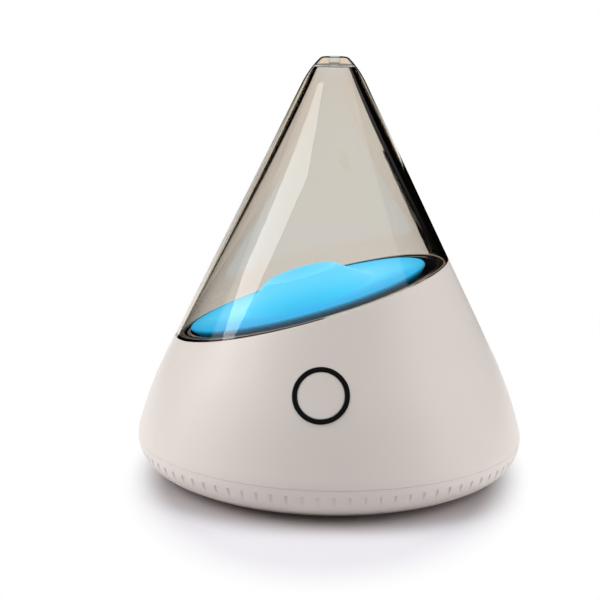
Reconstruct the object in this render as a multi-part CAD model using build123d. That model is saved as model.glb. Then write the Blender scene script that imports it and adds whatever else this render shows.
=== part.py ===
from build123d import *
import math
import os

# Cone-shaped ultrasonic aroma diffuser. Millimetres, +Z up, origin on the cone's axis at the table.
# The button faces -Y, the slanted rim climbs towards +X and the low-voltage socket faces +Y.

# ---- outer form ----
MAX_RADIUS = 75.0          # widest point of the body
SEAM_HEIGHT = 14.5         # the widest point is also the seam between base and housing
EDGE_RADIUS = 12.25        # quarter-round edge of the base
UNDERCUT_ANGLE = 63.6      # how far the quarter-round turns under the body
BELLY_START = 15.0         # elevation of the skin's normal where edge and belly arcs meet
BELLY_RADIUS = 158.7       # gentle arc between the edge and the straight cone
CONE_ANGLE = 26.25         # half-angle of the cone, also the elevation of its normal
UNDERSIDE = 1.5            # height of the base's flat underside, the feet fill the rest
TOP_HEIGHT = 160.9         # truncated tip of the cover
CLEAR = 0.05               # radial clearance of screws and pins in their own body

# ---- slanted parting plane ----
RIM_HEIGHT = 71.0          # where the plane crosses the axis
RIM_TILT = 16.5            # degrees, climbs towards +X

# ---- cover ----
COVER_RIM_WALL = 1.25      # wall below the rim's lowest point
COVER_TIP_WALL = 1.9       # wall just under the tip
COVER_MOULD_FOOT = 45.0    # height at which the tapered wall reaches its rim thickness
COVER_TOP_WALL = 3.2
COVER_SHOULDER = 34.0      # radius of the gentle arc between flank and edge
COVER_SHOULDER_END = 45.0  # elevation of the skin's normal where the arc meets the edge
COVER_EDGE = 2.0           # rounding of the flat tip's edge
COVER_CEILING = 2.2        # rounding of the hollow's ceiling
VENT_RADIUS = 2.1

# ---- housing ----
HOUSING_WALL = 3.0
LIP_FACE = 1.8             # inset of the lip's outer face, clear of the cover
LIP_RISE = 0.6             # lip above the parting plane
LEDGE_TOP = -8.6           # ledge that carries the tank, along the parting plane's normal
LEDGE_REACH = 6.0          # how far the ledge reaches in under the tank's flange
LEDGE_THICKNESS = 2.0
HOUSING_BOTTOM = 14.55

# ---- tank ----
TANK_X = -8.5              # axis of the basin
TANK_FLOOR = 24.0
TANK_FLOOR_THICKNESS = 2.0
TANK_BOTTOM_RADIUS = 36.0
TANK_TOP_RADIUS = 38.5
TANK_MOULD_HEIGHT = 80.0   # height at which the tapered wall reaches its top radius
TANK_WALL = 2.0
SEAL_THICKNESS = 0.7
FLANGE_THICKNESS = 2.0
FLANGE_TOP = LEDGE_TOP + SEAL_THICKNESS + FLANGE_THICKNESS
FLANGE_SHIFT = -7.3        # centre of the flange along the slope
FLANGE_LENGTH = 50.8       # half axes of the flange, which just passes the lip
FLANGE_WIDTH = 48.2
FLANGE_RIM = -0.3          # top of the flange's upturned rim
FLANGE_RIM_WALL = 1.3

# ---- inner cover with the mist crater ----
DISH_SHIFT = -9.35         # centre of the dish along the slope
DISH_LENGTH = 47.9         # half axis along the slope
DISH_WIDTH = 41.4          # half axis across the slope
DISH_TOP = 1.2             # above the parting plane
DISH_WALL = 2.0
DISH_EDGE = 0.6            # rounding of the dish's upper edge
DISH_FOOT_SHIFT = -9.5     # centre of the skirt's foot along the slope
DISH_FOOT_LENGTH = 41.3    # half axes of the skirt's foot, which is drawn in
DISH_FOOT_WIDTH = 38.3
CRATER_SHIFT = -9.5        # crater's axis along the slope
CRATER_FOOT = 26.3         # radius where the flank runs out
CRATER_RIM = 14.0
CRATER_TOP = 9.5
THROAT_RADIUS = 5.5
THROAT_TOP = 2.6
THROAT_BOTTOM = -5.8

# ---- button ----
BUTTON_HEIGHT = 46.1
BUTTON_RADIUS = 8.6
BUTTON_GAP = 0.08
BEZEL_RADIUS = 10.3
BEZEL_TUBE_RADIUS = 9.6
BEZEL_SEAT = 1.6
BEZEL_DEPTH = 6.0
BOARD_DEPTH = 11.0         # front face of the button's board below the skin
BUTTON_SCREW_X = 14.0

# ---- base ----
BASE_TOP = 14.45
BASE_WALL = 2.6
GROOVES = 84
GROOVE_RADIUS = 0.8
GROOVE_DEPTH = 0.35        # at the middle
GROOVE_HALF_LENGTH = 2.4
GROOVE_ANGLE = 24.0        # middle of a groove below the seam, round the quarter-round
GROOVE_LEAN = 8.0          # steeper than the skin, so that a groove runs out at its lower end
PILLAR_RING = 61.0         # radius on which the four base screws stand
PILLAR_TOP = 9.0
PILLAR_ANGLES = (30, 150, 210, 330)
FOOT_RING = 52.0
FOOT_RADIUS = 6.0
FOOT_RECESS = 1.0
FOOT_ANGLES = (45, 135, 225, 315)

# ---- transducer under the tank ----
PIEZO_X = -12.0
PIEZO_RADIUS = 10.0
PIEZO_HOLE = 8.5
CLAMP_TOP = 18.0
CLAMP_THICKNESS = 1.6
CLAMP_RING = 17.5
CLAMP_ANGLES = (0, 120, 240)

# ---- lamp board under the tank ----
LED_TOP = 20.2
LED_INNER = 21.0
LED_OUTER = 27.0
LED_ANGLES = (78, 150, 180, 210, 282)
LED_SCREW_ANGLES = (114, 246)

# ---- main board ----
BOARD_BOTTOM = 8.0
BOARD_THICKNESS = 1.6
BOARD_TOP = BOARD_BOTTOM + BOARD_THICKNESS
BOARD_X = -18.0
BOARD_LENGTH = 52.0
BOARD_WIDTH = 66.0
BOARD_HOLES = [(-40, -28), (-40, 28), (4, -28), (4, 28)]

# ---- fan and air duct ----
FAN_X = 36.0
FAN_SIZE = 40.0
FAN_BOTTOM = 5.0
FAN_TOP = 15.0
FAN_BORE = 18.6
FAN_TIP = 18.0
FAN_HUB = 8.0
FAN_HOLE = 16.0
BLADES = 7
BLADE_PITCH = 40.0
DUCT_PLATE = 1.5
DRUM_RADIUS = 19.8
DRUM_TOP = 21.0
DUCT_WALL = 1.5
RISER_NEAR = 30.2
RISER_FAR = 44.0
RISER_HALF_WIDTH = 12.0
RISER_TOP = 68.0
RISER_COLLAR = 1.2
WINDOW_BOTTOM = 58.0
WINDOW_TOP = 66.0
WINDOW_HALF_WIDTH = 8.0

# ---- socket ----
JACK_HEIGHT = 26.0
JACK_SEAT = 69.2           # flat floor of the recess in the rear flank
JACK_FLANGE = 6.5
JACK_BARREL = 5.4
JACK_BORE = 2.75
JACK_PIN = 1.0
JACK_LENGTH = 12.0
JACK_BOSS = 7.9
JACK_NUT_FACE = 65.2
JACK_NUT_FLATS = 14.0

BIG = 400.0

rim_plane = Plane(
    origin=(0, 0, RIM_HEIGHT),
    x_dir=(math.cos(math.radians(RIM_TILT)), 0, math.sin(math.radians(RIM_TILT))),
    z_dir=(-math.sin(math.radians(RIM_TILT)), 0, math.cos(math.radians(RIM_TILT))),
)


def on_arc(centre, radius, angle):
    """Point of the (r, z) half section on an arc, angle measured upwards from the horizontal."""
    turn = math.radians(angle)
    return (centre[0] + radius * math.cos(turn), centre[1] + radius * math.sin(turn))


edge_centre = (MAX_RADIUS - EDGE_RADIUS, SEAM_HEIGHT)
belly_centre = on_arc(edge_centre, EDGE_RADIUS - BELLY_RADIUS, BELLY_START)
cone_start = on_arc(belly_centre, BELLY_RADIUS, CONE_ANGLE)
APEX_HEIGHT = cone_start[1] + cone_start[0] / math.tan(math.radians(CONE_ANGLE))


def skin(inset):
    """Solid inside the outer skin moved inwards by inset, from the underside to the cone's sharp apex."""
    under = on_arc(edge_centre, EDGE_RADIUS - inset, -UNDERCUT_ANGLE)
    edge_middle = on_arc(edge_centre, EDGE_RADIUS - inset, (BELLY_START - UNDERCUT_ANGLE) / 2)
    edge_end = on_arc(edge_centre, EDGE_RADIUS - inset, BELLY_START)
    belly_middle = on_arc(belly_centre, BELLY_RADIUS - inset, (BELLY_START + CONE_ANGLE) / 2)
    belly_end = on_arc(belly_centre, BELLY_RADIUS - inset, CONE_ANGLE)
    floor = UNDERSIDE + inset
    floor_radius = under[0] - (under[1] - floor) * math.tan(math.radians(UNDERCUT_ANGLE))
    apex = belly_end[1] + belly_end[0] / math.tan(math.radians(CONE_ANGLE))
    outline = [
        Line((0, floor), (floor_radius, floor)),
        Line((floor_radius, floor), under),
        ThreePointArc(under, edge_middle, edge_end),
        ThreePointArc(edge_end, belly_middle, belly_end),
        Line(belly_end, (0, apex)),
        Line((0, apex), (0, floor)),
    ]
    return revolve(Plane.XZ * make_face(outline), Axis.Z)


def cone_radius(height):
    """Radius of the straight part of the outer cone."""
    return (APEX_HEIGHT - height) * math.tan(math.radians(CONE_ANGLE))


def slab(low, high):
    """Everything between two horizontal planes."""
    return Pos(0, 0, (low + high) / 2) * Box(BIG, BIG, high - low)


def slanted_slab(low, high):
    """Everything between two planes parallel to the parting plane, at distances low and high above it."""
    return rim_plane * Pos(0, 0, (low + high) / 2) * Box(BIG, BIG, high - low)


def rod(x, y, low, high, radius):
    """Upright cylinder between two heights."""
    return Pos(x, y, (low + high) / 2) * Cylinder(radius, high - low)


def tube(x, y, low, high, outer, inner):
    """Upright ring between two heights."""
    return rod(x, y, low, high, outer) - rod(x, y, low - 1, high + 1, inner)


def block(x_low, x_high, y_low, y_high, z_low, z_high):
    """Box given by its faces."""
    centre = Pos((x_low + x_high) / 2, (y_low + y_high) / 2, (z_low + z_high) / 2)
    return centre * Box(x_high - x_low, y_high - y_low, z_high - z_low)


def ring_points(x, radius, angles):
    """Places on a circle round (x, 0)."""
    return [
        (x + radius * math.cos(math.radians(a)), radius * math.sin(math.radians(a)))
        for a in angles
    ]


def screw(frame, shank, length, head, head_height):
    """Pan-head screw: the head's seat lies on the frame's XY plane and the shank points along -Z."""
    body = Pos(0, 0, -length / 2) * Cylinder(shank, length)
    top = Pos(0, 0, head_height / 2) * Cylinder(head, head_height)
    top = fillet(top.edges().group_by(Axis.Z)[-1], head_height * 0.5)
    recess = Pos(0, 0, head_height) * Box(head, 0.5, 0.9) + Pos(0, 0, head_height) * Box(0.5, head, 0.9)
    return frame * (body + top - recess)


def cone_frame(height):
    """Frame on the front flank of the cone: Z outwards along the skin's normal, X to the right."""
    tilt = math.radians(CONE_ANGLE)
    return Plane(
        origin=(0, -cone_radius(height), height),
        x_dir=(1, 0, 0),
        z_dir=(0, -math.cos(tilt), math.sin(tilt)),
    )


button_frame = cone_frame(BUTTON_HEIGHT)
tank_screw_places = [(FLANGE_SHIFT + side * 12, across * 42.8) for side in (-1, 1) for across in (-1, 1)]


# ---------------------------------------------------------------- cover
def cover_form():
    """Solid form of the cover: straight flank, gentle shoulder, rounded edge and flat tip."""
    drop = (COVER_SHOULDER - COVER_EDGE) * math.sin(math.radians(COVER_SHOULDER_END))
    centre_height = TOP_HEIGHT - COVER_EDGE - drop
    start_height = centre_height + COVER_SHOULDER * math.sin(math.radians(CONE_ANGLE))
    start = (cone_radius(start_height), start_height)
    shoulder_centre = on_arc(start, -COVER_SHOULDER, CONE_ANGLE)
    middle = on_arc(shoulder_centre, COVER_SHOULDER, (CONE_ANGLE + COVER_SHOULDER_END) / 2)
    end = on_arc(shoulder_centre, COVER_SHOULDER, COVER_SHOULDER_END)
    corner = on_arc(end, -COVER_EDGE, COVER_SHOULDER_END)
    corner_middle = on_arc(corner, COVER_EDGE, (COVER_SHOULDER_END + 90) / 2)
    corner_end = on_arc(corner, COVER_EDGE, 90)
    foot = cone_start[1]
    outline = [
        Line((0, foot), cone_start),
        Line(cone_start, start),
        ThreePointArc(start, middle, end),
        ThreePointArc(end, corner_middle, corner_end),
        Line(corner_end, (0, TOP_HEIGHT)),
        Line((0, TOP_HEIGHT), (0, foot)),
    ]
    return revolve(Plane.XZ * make_face(outline), Axis.Z)


def make_cone_cover():
    """Conical shell above the parting plane, thickest at its rounded tip, with a vent hole."""
    above = slanted_slab(0, BIG / 2)
    ceiling = TOP_HEIGHT - COVER_TOP_WALL
    slant = math.cos(math.radians(CONE_ANGLE))
    foot_radius = cone_radius(COVER_MOULD_FOOT) - COVER_RIM_WALL / slant
    ceiling_radius = cone_radius(ceiling) - COVER_TIP_WALL / slant
    inside = Pos(0, 0, (COVER_MOULD_FOOT + ceiling) / 2)
    inside = inside * Cone(foot_radius, ceiling_radius, ceiling - COVER_MOULD_FOOT)
    inside = fillet(inside.edges().group_by(Axis.Z)[-1], COVER_CEILING)
    vent = rod(0, 0, TOP_HEIGHT - 10, TOP_HEIGHT + 10, VENT_RADIUS)
    return (cover_form() - inside - vent) & above


# ---------------------------------------------------------------- housing
def jack_boss():
    """Round thickening behind the socket's recess."""
    boss = Pos(0, (JACK_NUT_FACE + MAX_RADIUS) / 2, JACK_HEIGHT) * Rot(90, 0, 0)
    boss = boss * Cylinder(JACK_BOSS, MAX_RADIUS - JACK_NUT_FACE)
    return boss & skin(0.5)


def jack_cuts():
    """Recess for the socket's flange and the hole for its barrel."""
    recess = Pos(0, JACK_SEAT + 10, JACK_HEIGHT) * Rot(90, 0, 0) * Cylinder(JACK_BOSS - 0.7, 20)
    hole = Pos(0, JACK_SEAT, JACK_HEIGHT) * Rot(90, 0, 0) * Cylinder(JACK_BARREL + CLEAR, 30)
    return recess + hole


def base_bosses():
    """Four screw bosses that stand on the base's pillars, each tied to the wall by a rib."""
    bosses = []
    for angle in PILLAR_ANGLES:
        boss = Pos(PILLAR_RING, 0, (PILLAR_TOP + 40) / 2) * Cylinder(4, 40 - PILLAR_TOP)
        rib = block(PILLAR_RING, MAX_RADIUS, -1, 1, 18.5, 40)
        pilot = rod(PILLAR_RING, 0, PILLAR_TOP - 1, 18, 1.5)
        bosses.append(Rot(0, 0, angle) * (boss + rib - pilot))
    return Part() + bosses & skin(1)


def make_upper_housing():
    """Belly and cone up to the parting plane, with lip, tank ledge, bosses and the two openings."""
    below = slanted_slab(-BIG / 2, 0) & slab(HOUSING_BOTTOM, BIG / 2)
    shell = (skin(0) - skin(HOUSING_WALL)) & below
    lip = (skin(LIP_FACE) - skin(HOUSING_WALL)) & slanted_slab(-3, LIP_RISE)
    ledge = skin(1) & slanted_slab(LEDGE_TOP - LEDGE_THICKNESS, LEDGE_TOP)
    ledge -= flange_oval(-LEDGE_REACH, LEDGE_TOP - 3, LEDGE_TOP + 1)
    housing = shell + lip + ledge + base_bosses() + jack_boss() - jack_cuts()
    for along, across in tank_screw_places:
        place = rim_plane * Pos(along, across, 0)
        housing += place * Pos(0, 0, LEDGE_TOP - 4) * Cylinder(3.2, 8)
        housing -= place * Pos(0, 0, LEDGE_TOP - 3.5) * Cylinder(1.25, 7.001)
    opening = Cylinder(BEZEL_TUBE_RADIUS + CLEAR, 30)
    seat = Pos(0, 0, 10 - BEZEL_SEAT) * Cylinder(BEZEL_RADIUS + CLEAR, 20)
    for side in (-1, 1):
        boss = Pos(side * BUTTON_SCREW_X, 0, (-1 - BOARD_DEPTH) / 2) * Cylinder(2.6, BOARD_DEPTH - 1)
        pilot = Pos(side * BUTTON_SCREW_X, 0, -BOARD_DEPTH + 2.5) * Cylinder(1.05, 5.001)
        housing += (button_frame * boss) & skin(1)
        housing -= button_frame * pilot
    return housing - button_frame * (opening + seat)


# ---------------------------------------------------------------- base
def intake_grille():
    """Ring slots under the fan, interrupted by three ribs."""
    slots = [tube(FAN_X, 0, 0, 10, outer, outer - 2.2) for outer in (6.5, 10.5, 14.5, 18.0)]
    ribs = [Pos(FAN_X, 0, 5) * Rot(0, 0, turn) * Box(40, 2, 20) for turn in (30, 90, 150)]
    return Part() + slots - ribs


def groove_cutters():
    """Short half-round flutes just below the seam, running out downwards."""
    place = on_arc(edge_centre, EDGE_RADIUS, -GROOVE_ANGLE)
    flute = Pos(place[0], 0, place[1]) * Rot(0, GROOVE_ANGLE - GROOVE_LEAN, 0)
    flute = flute * Pos(GROOVE_RADIUS - GROOVE_DEPTH, 0, -GROOVE_HALF_LENGTH)
    flute = flute * Cylinder(GROOVE_RADIUS, 4 * GROOVE_HALF_LENGTH)
    return [Rot(0, 0, 360 / GROOVES * i) * flute for i in range(GROOVES)]


def make_base_cover():
    """Quarter-round tray: spigot into the housing, screw pillars, board and fan posts, intake grille."""
    tray = (skin(0) - skin(BASE_WALL)) & slab(0, BASE_TOP)
    tray += (skin(BASE_WALL - 0.1) - skin(4.4)) & slab(10, BASE_TOP)
    tray += (skin(HOUSING_WALL + 0.2) - skin(4.4)) & slab(BASE_TOP - 0.1, 17.5)
    tray -= groove_cutters()
    for x, y in ring_points(0, PILLAR_RING, PILLAR_ANGLES):
        tray += rod(x, y, UNDERSIDE, PILLAR_TOP, 5) & skin(1)
        tray -= rod(x, y, 0, 5, 3.3)
        tray -= rod(x, y, 4, 10, 1.6)
    for x, y in BOARD_HOLES:
        tray += rod(x, y, 2, BOARD_BOTTOM, 2.8)
        tray -= rod(x, y, 3.5, BOARD_BOTTOM + 1, 1.05)
    for x, y in fan_holes():
        tray += rod(x, y, 2, FAN_BOTTOM, 3)
        tray -= rod(x, y, 2.3, FAN_BOTTOM + 1, 1.25)
    for x, y in ring_points(0, FOOT_RING, FOOT_ANGLES):
        tray -= rod(x, y, 0, UNDERSIDE + FOOT_RECESS, FOOT_RADIUS)
    return tray - intake_grille()


def fan_holes():
    """The four screw places of the fan's frame."""
    return [(FAN_X + side * FAN_HOLE, across * FAN_HOLE) for side in (-1, 1) for across in (-1, 1)]


def make_foot(place):
    """Round rubber pad glued into its recess, with a softened lower edge."""
    pad = rod(place[0], place[1], 0, UNDERSIDE + FOOT_RECESS, FOOT_RADIUS)
    return chamfer(pad.edges().group_by(Axis.Z)[0], 0.5)


def make_base_screws():
    """Four screws, heads sunk in the base's pillars, pointing up."""
    screws = []
    for x, y in ring_points(0, PILLAR_RING, PILLAR_ANGLES):
        frame = Plane(origin=(x, y, 5), x_dir=(1, 0, 0), z_dir=(0, 0, -1))
        screws.append(screw(frame, 1.45, 12, 2.8, 2.2))
    return screws


# ---------------------------------------------------------------- inner cover
def crater():
    """Volcano-shaped mist outlet: flank, rounded rim, bowl and throat, one moulded wall thick."""
    under = DISH_TOP - DISH_WALL
    wall = 1.6
    flank_slope = math.atan2(CRATER_TOP - DISH_TOP, CRATER_FOOT - CRATER_RIM)
    bowl_low = (THROAT_RADIUS + 1.2, THROAT_TOP)
    bowl_high = (CRATER_RIM - 1.0, CRATER_TOP - 0.4)
    bowl_middle = (
        (bowl_low[0] + bowl_high[0]) / 2 + 1.3,
        (bowl_low[1] + bowl_high[1]) / 2 - 1.1,
    )
    inner_tip = (CRATER_RIM - 0.6, CRATER_TOP - 2.7)
    inner_foot = (CRATER_FOOT - wall * math.tan(flank_slope / 2), under)
    outline = [
        Line((CRATER_FOOT + 2, DISH_TOP), (CRATER_FOOT, DISH_TOP)),
        Line((CRATER_FOOT, DISH_TOP), (CRATER_RIM, CRATER_TOP)),
        ThreePointArc((CRATER_RIM, CRATER_TOP), (CRATER_RIM - 0.6, CRATER_TOP + 0.2), bowl_high),
        ThreePointArc(bowl_high, bowl_middle, bowl_low),
        Line(bowl_low, (THROAT_RADIUS, THROAT_TOP - 0.8)),
        Line((THROAT_RADIUS, THROAT_TOP - 0.8), (THROAT_RADIUS, THROAT_BOTTOM)),
        Line((THROAT_RADIUS, THROAT_BOTTOM), (THROAT_RADIUS + wall, THROAT_BOTTOM)),
        Line((THROAT_RADIUS + wall, THROAT_BOTTOM), (THROAT_RADIUS + wall, THROAT_TOP - 1.8)),
        Line((THROAT_RADIUS + wall, THROAT_TOP - 1.8), inner_tip),
        Line(inner_tip, inner_foot),
        Line(inner_foot, (CRATER_FOOT + 2, under)),
        Line((CRATER_FOOT + 2, under), (CRATER_FOOT + 2, DISH_TOP)),
    ]
    turned = revolve(Plane.XZ * make_face(outline), Axis.Z)
    foot_edge = turned.edges().filter_by(GeomType.CIRCLE).filter_by(
        lambda e: abs(e.radius - CRATER_FOOT) < 0.01 and abs(e.center().Z - DISH_TOP) < 0.01
    )
    return fillet(foot_edge, 3.0)


def make_inner_cover():
    """Oval dish parallel to the parting plane, its drawn-in skirt standing on the tank's flange."""
    outside = dish_oval(0, DISH_TOP)
    outside = fillet(outside.edges().group_by(Axis.Z)[-1], DISH_EDGE)
    middle = Pos(CRATER_SHIFT, 0, 0)
    dish = outside - dish_oval(DISH_WALL, DISH_TOP - DISH_WALL) - middle * Cylinder(CRATER_FOOT + 1, 40)
    return rim_plane * (dish + middle * crater())


def dish_oval(inset, top):
    """The dish's solid form, moved inwards by inset: two ovals joined by a straight skirt."""
    foot = Pos(DISH_FOOT_SHIFT, 0, FLANGE_TOP) * Ellipse(DISH_FOOT_LENGTH - inset, DISH_FOOT_WIDTH - inset)
    mouth = Pos(DISH_SHIFT, 0, top) * Ellipse(DISH_LENGTH - inset, DISH_WIDTH - inset)
    return loft([foot, mouth], ruled=True)


# ---------------------------------------------------------------- tank
def basin(inset, floor):
    """Tapered basin moved inwards by inset, with a rounded bottom edge."""
    low = TANK_FLOOR - TANK_FLOOR_THICKNESS
    body = Pos(TANK_X, 0, (low + TANK_MOULD_HEIGHT) / 2)
    body = body * Cone(TANK_BOTTOM_RADIUS - inset, TANK_TOP_RADIUS - inset, TANK_MOULD_HEIGHT - low)
    body = body & slab(floor, TANK_MOULD_HEIGHT)
    return fillet(body.edges().group_by(Axis.Z)[0], 6 - inset)


def flange_oval(grow, low, high):
    """The flange's outline, grown or shrunk, raised between two heights along the slanted normal."""
    oval = Ellipse(FLANGE_LENGTH + grow, FLANGE_WIDTH + grow)
    return rim_plane * Pos(FLANGE_SHIFT, 0, low) * extrude(oval, high - low)


def make_water_tank():
    """Basin hung by a slanted, rimmed flange, with the transducer well, lamp posts and the air window."""
    low = TANK_FLOOR - TANK_FLOOR_THICKNESS
    tank = basin(0, low) & slanted_slab(-BIG / 2, FLANGE_TOP)
    tank += flange_oval(0, FLANGE_TOP - FLANGE_THICKNESS, FLANGE_RIM)
    tank -= flange_oval(-FLANGE_RIM_WALL, FLANGE_TOP, FLANGE_RIM + 1)
    tank -= basin(TANK_WALL, TANK_FLOOR)
    tank += tube(PIEZO_X, 0, CLAMP_TOP, low + 0.5, 14.5, PIEZO_RADIUS + 1)
    for x, y in ring_points(PIEZO_X, CLAMP_RING, CLAMP_ANGLES):
        tank += rod(x, y, CLAMP_TOP, low + 0.5, 2.6)
        tank -= rod(x, y, CLAMP_TOP - 1, low, 0.85)
    for x, y in led_screw_places():
        tank += rod(x, y, LED_TOP, low + 0.5, 2.5)
        tank -= rod(x, y, LED_TOP - 1, low + 0.5, 1.05)
    well = Pos(PIEZO_X, 0, TANK_FLOOR - 0.5) * Cone(PIEZO_HOLE, PIEZO_HOLE + 3, 1.001)
    tank -= well + rod(PIEZO_X, 0, low - 1, TANK_FLOOR + 1, PIEZO_HOLE)
    tank -= block(0, 40, -WINDOW_HALF_WIDTH, WINDOW_HALF_WIDTH, WINDOW_BOTTOM, WINDOW_TOP)
    for along, across in tank_screw_places:
        tank -= rim_plane * Pos(along, across, FLANGE_TOP) * Cylinder(1.5, 10)
    return tank


def led_screw_places():
    """The two screw places of the lamp board."""
    return ring_points(PIEZO_X, (LED_INNER + LED_OUTER) / 2, LED_SCREW_ANGLES)


def make_tank_seal():
    """Flat rubber ring on the ledge."""
    top = LEDGE_TOP + SEAL_THICKNESS
    seal = flange_oval(-0.3, LEDGE_TOP, top) - flange_oval(0.3 - LEDGE_REACH, LEDGE_TOP - 1, top + 1)
    for along, across in tank_screw_places:
        seal -= rim_plane * Pos(along, across, LEDGE_TOP) * Cylinder(1.6, 4)
    return seal


def make_tank_screws():
    """Four screws through the flange into the ledge's bosses."""
    places = [rim_plane * Pos(along, across, FLANGE_TOP) for along, across in tank_screw_places]
    return [screw(place, 1.2, 8, 2.3, 1.5) for place in places]


# ---------------------------------------------------------------- transducer
def make_piezo_disc():
    """Thin metal and ceramic disc."""
    plate = rod(PIEZO_X, 0, 20.0, 20.5, PIEZO_RADIUS)
    return plate + rod(PIEZO_X, 0, 19.6, 20.0, PIEZO_RADIUS - 3)


def make_piezo_gasket():
    """Rubber ring, pressed up against the tank's floor, with the disc's edge in its groove."""
    ring = tube(PIEZO_X, 0, CLAMP_TOP, TANK_FLOOR - TANK_FLOOR_THICKNESS, PIEZO_RADIUS + 0.95, PIEZO_HOLE)
    return ring - rod(PIEZO_X, 0, 20.0, 20.5, PIEZO_RADIUS)


def make_piezo_clamp():
    """Ring with three ears."""
    ring = tube(PIEZO_X, 0, CLAMP_TOP - CLAMP_THICKNESS, CLAMP_TOP, 14.5, 7.5)
    for angle in CLAMP_ANGLES:
        ear = Pos(CLAMP_RING, 0, 0) * Cylinder(3, CLAMP_THICKNESS)
        ear += Pos(CLAMP_RING - 2.5, 0, 0) * Box(5, 6, CLAMP_THICKNESS)
        ear -= Pos(CLAMP_RING, 0, 0) * Cylinder(0.9, 10)
        ring += Pos(PIEZO_X, 0, CLAMP_TOP - CLAMP_THICKNESS / 2) * Rot(0, 0, angle) * ear
    return ring


def make_clamp_screws():
    """Three small screws from below."""
    screws = []
    for x, y in ring_points(PIEZO_X, CLAMP_RING, CLAMP_ANGLES):
        frame = Plane(origin=(x, y, CLAMP_TOP - CLAMP_THICKNESS), x_dir=(1, 0, 0), z_dir=(0, 0, -1))
        screws.append(screw(frame, 0.8, 5, 1.7, 1.1))
    return screws


# ---------------------------------------------------------------- lamps
def make_led_board():
    """C-shaped board, open towards the fan."""
    board = tube(PIEZO_X, 0, LED_TOP - 1.2, LED_TOP, LED_OUTER, LED_INNER)
    board -= Pos(PIEZO_X, 0, LED_TOP) * Rot(0, 0, 45) * Pos(30, 30, 0) * Box(60, 60, 10)
    for x, y in led_screw_places():
        board -= rod(x, y, 0, LED_TOP + 1, 1.1)
    return board


def make_led_lamps():
    """Surface-mounted lamps with a shallow round lens."""
    lamps = []
    for angle in LED_ANGLES:
        lamp = Pos(0, 0, 0.6) * Box(5, 5, 1.2) + Pos(0, 0, 1.3) * Cylinder(1.9, 0.2)
        radius = (LED_INNER + LED_OUTER) / 2
        lamps.append(Pos(PIEZO_X, 0, LED_TOP) * Rot(0, 0, angle) * Pos(radius, 0, 0) * lamp)
    return lamps


def make_led_screws():
    """Two screws from below."""
    screws = []
    for x, y in led_screw_places():
        frame = Plane(origin=(x, y, LED_TOP - 1.2), x_dir=(1, 0, 0), z_dir=(0, 0, -1))
        screws.append(screw(frame, 1.0, 3, 1.8, 1.1))
    return screws


# ---------------------------------------------------------------- main board
def make_main_board():
    """Board on four posts, one corner of it cut away."""
    board = Pos(BOARD_X, 0, BOARD_BOTTOM + BOARD_THICKNESS / 2)
    board = board * Box(BOARD_LENGTH, BOARD_WIDTH, BOARD_THICKNESS)
    board = fillet(board.edges().filter_by(Axis.Z), 2)
    for x, y in BOARD_HOLES:
        board -= rod(x, y, 0, 20, 1.1)
    return board


def make_board_screws():
    """Four screws from above."""
    places = [Plane(origin=(x, y, BOARD_TOP), x_dir=(1, 0, 0), z_dir=(0, 0, 1)) for x, y in BOARD_HOLES]
    return [screw(place, 1.0, 5, 2.0, 1.4) for place in places]


def make_driver_coil():
    """Drum core: two flanges and the wound middle, on a round foot."""
    coil = rod(-34, -14, BOARD_TOP, BOARD_TOP + 1.2, 5)
    coil += rod(-34, -14, BOARD_TOP + 1, BOARD_TOP + 5.2, 4.3)
    return coil + rod(-34, -14, BOARD_TOP + 5, BOARD_TOP + 6.4, 5)


def make_heat_sink():
    """Extruded sink with seven upright fins."""
    sink = block(-34, -14, 20, 30, BOARD_TOP, BOARD_TOP + 1.5)
    for i in range(7):
        x = -33.4 + i * 3.1
        sink += block(x - 0.6, x + 0.6, 20, 30, BOARD_TOP + 1, BOARD_TOP + 8)
    return sink


def make_capacitors():
    """Two electrolytic cans with a crimp groove."""
    cans = []
    for x in (-14, -4):
        can = rod(x, -27, BOARD_TOP, BOARD_TOP + 9, 4)
        groove = tube(x, -27, BOARD_TOP + 1.6, BOARD_TOP + 2.4, 5, 3.6)
        cans.append(fillet(can.edges().group_by(Axis.Z)[-1], 0.6) - groove)
    return cans


# ---------------------------------------------------------------- fan
def make_fan_housing():
    """Square frame with a round bore, motor plate on three struts and the fixed shaft."""
    frame = Pos(FAN_X, 0, (FAN_BOTTOM + FAN_TOP) / 2) * Box(FAN_SIZE, FAN_SIZE, FAN_TOP - FAN_BOTTOM)
    frame = fillet(frame.edges().filter_by(Axis.Z), 3)
    frame -= rod(FAN_X, 0, 0, 30, FAN_BORE)
    frame += rod(FAN_X, 0, FAN_BOTTOM, FAN_BOTTOM + 1.5, FAN_HUB)
    for turn in (90, 210, 330):
        strut = block(FAN_HUB - 1, FAN_BORE + 0.5, -1, 1, FAN_BOTTOM, FAN_BOTTOM + 1.5)
        frame += Pos(FAN_X, 0, 0) * Rot(0, 0, turn) * strut
    frame += rod(FAN_X, 0, FAN_BOTTOM + 1, FAN_TOP - 2.5, 1)
    for x, y in fan_holes():
        frame -= rod(x, y, 0, 30, 1.4)
    return frame


def make_fan_impeller():
    """Hub cup with pitched blades, turning on the shaft."""
    low = FAN_BOTTOM + 2
    high = FAN_TOP - 0.8
    hub = rod(0, 0, low, high, FAN_HUB)
    hub = fillet(hub.edges().group_by(Axis.Z)[-1], 1)
    band = tube(0, 0, low + 0.3, high - 0.6, FAN_TIP, FAN_HUB - 0.5)
    blade = Pos(FAN_TIP / 2 + 4, 0, (low + high) / 2) * Rot(BLADE_PITCH, 0, 0) * Box(FAN_TIP, 1.0, 20)
    blade = blade & band
    impeller = hub + [Rot(0, 0, 360 / BLADES * i) * blade for i in range(BLADES)]
    return Pos(FAN_X, 0, 0) * (impeller - rod(0, 0, 0, FAN_TOP - 2, 1 + CLEAR))


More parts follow.
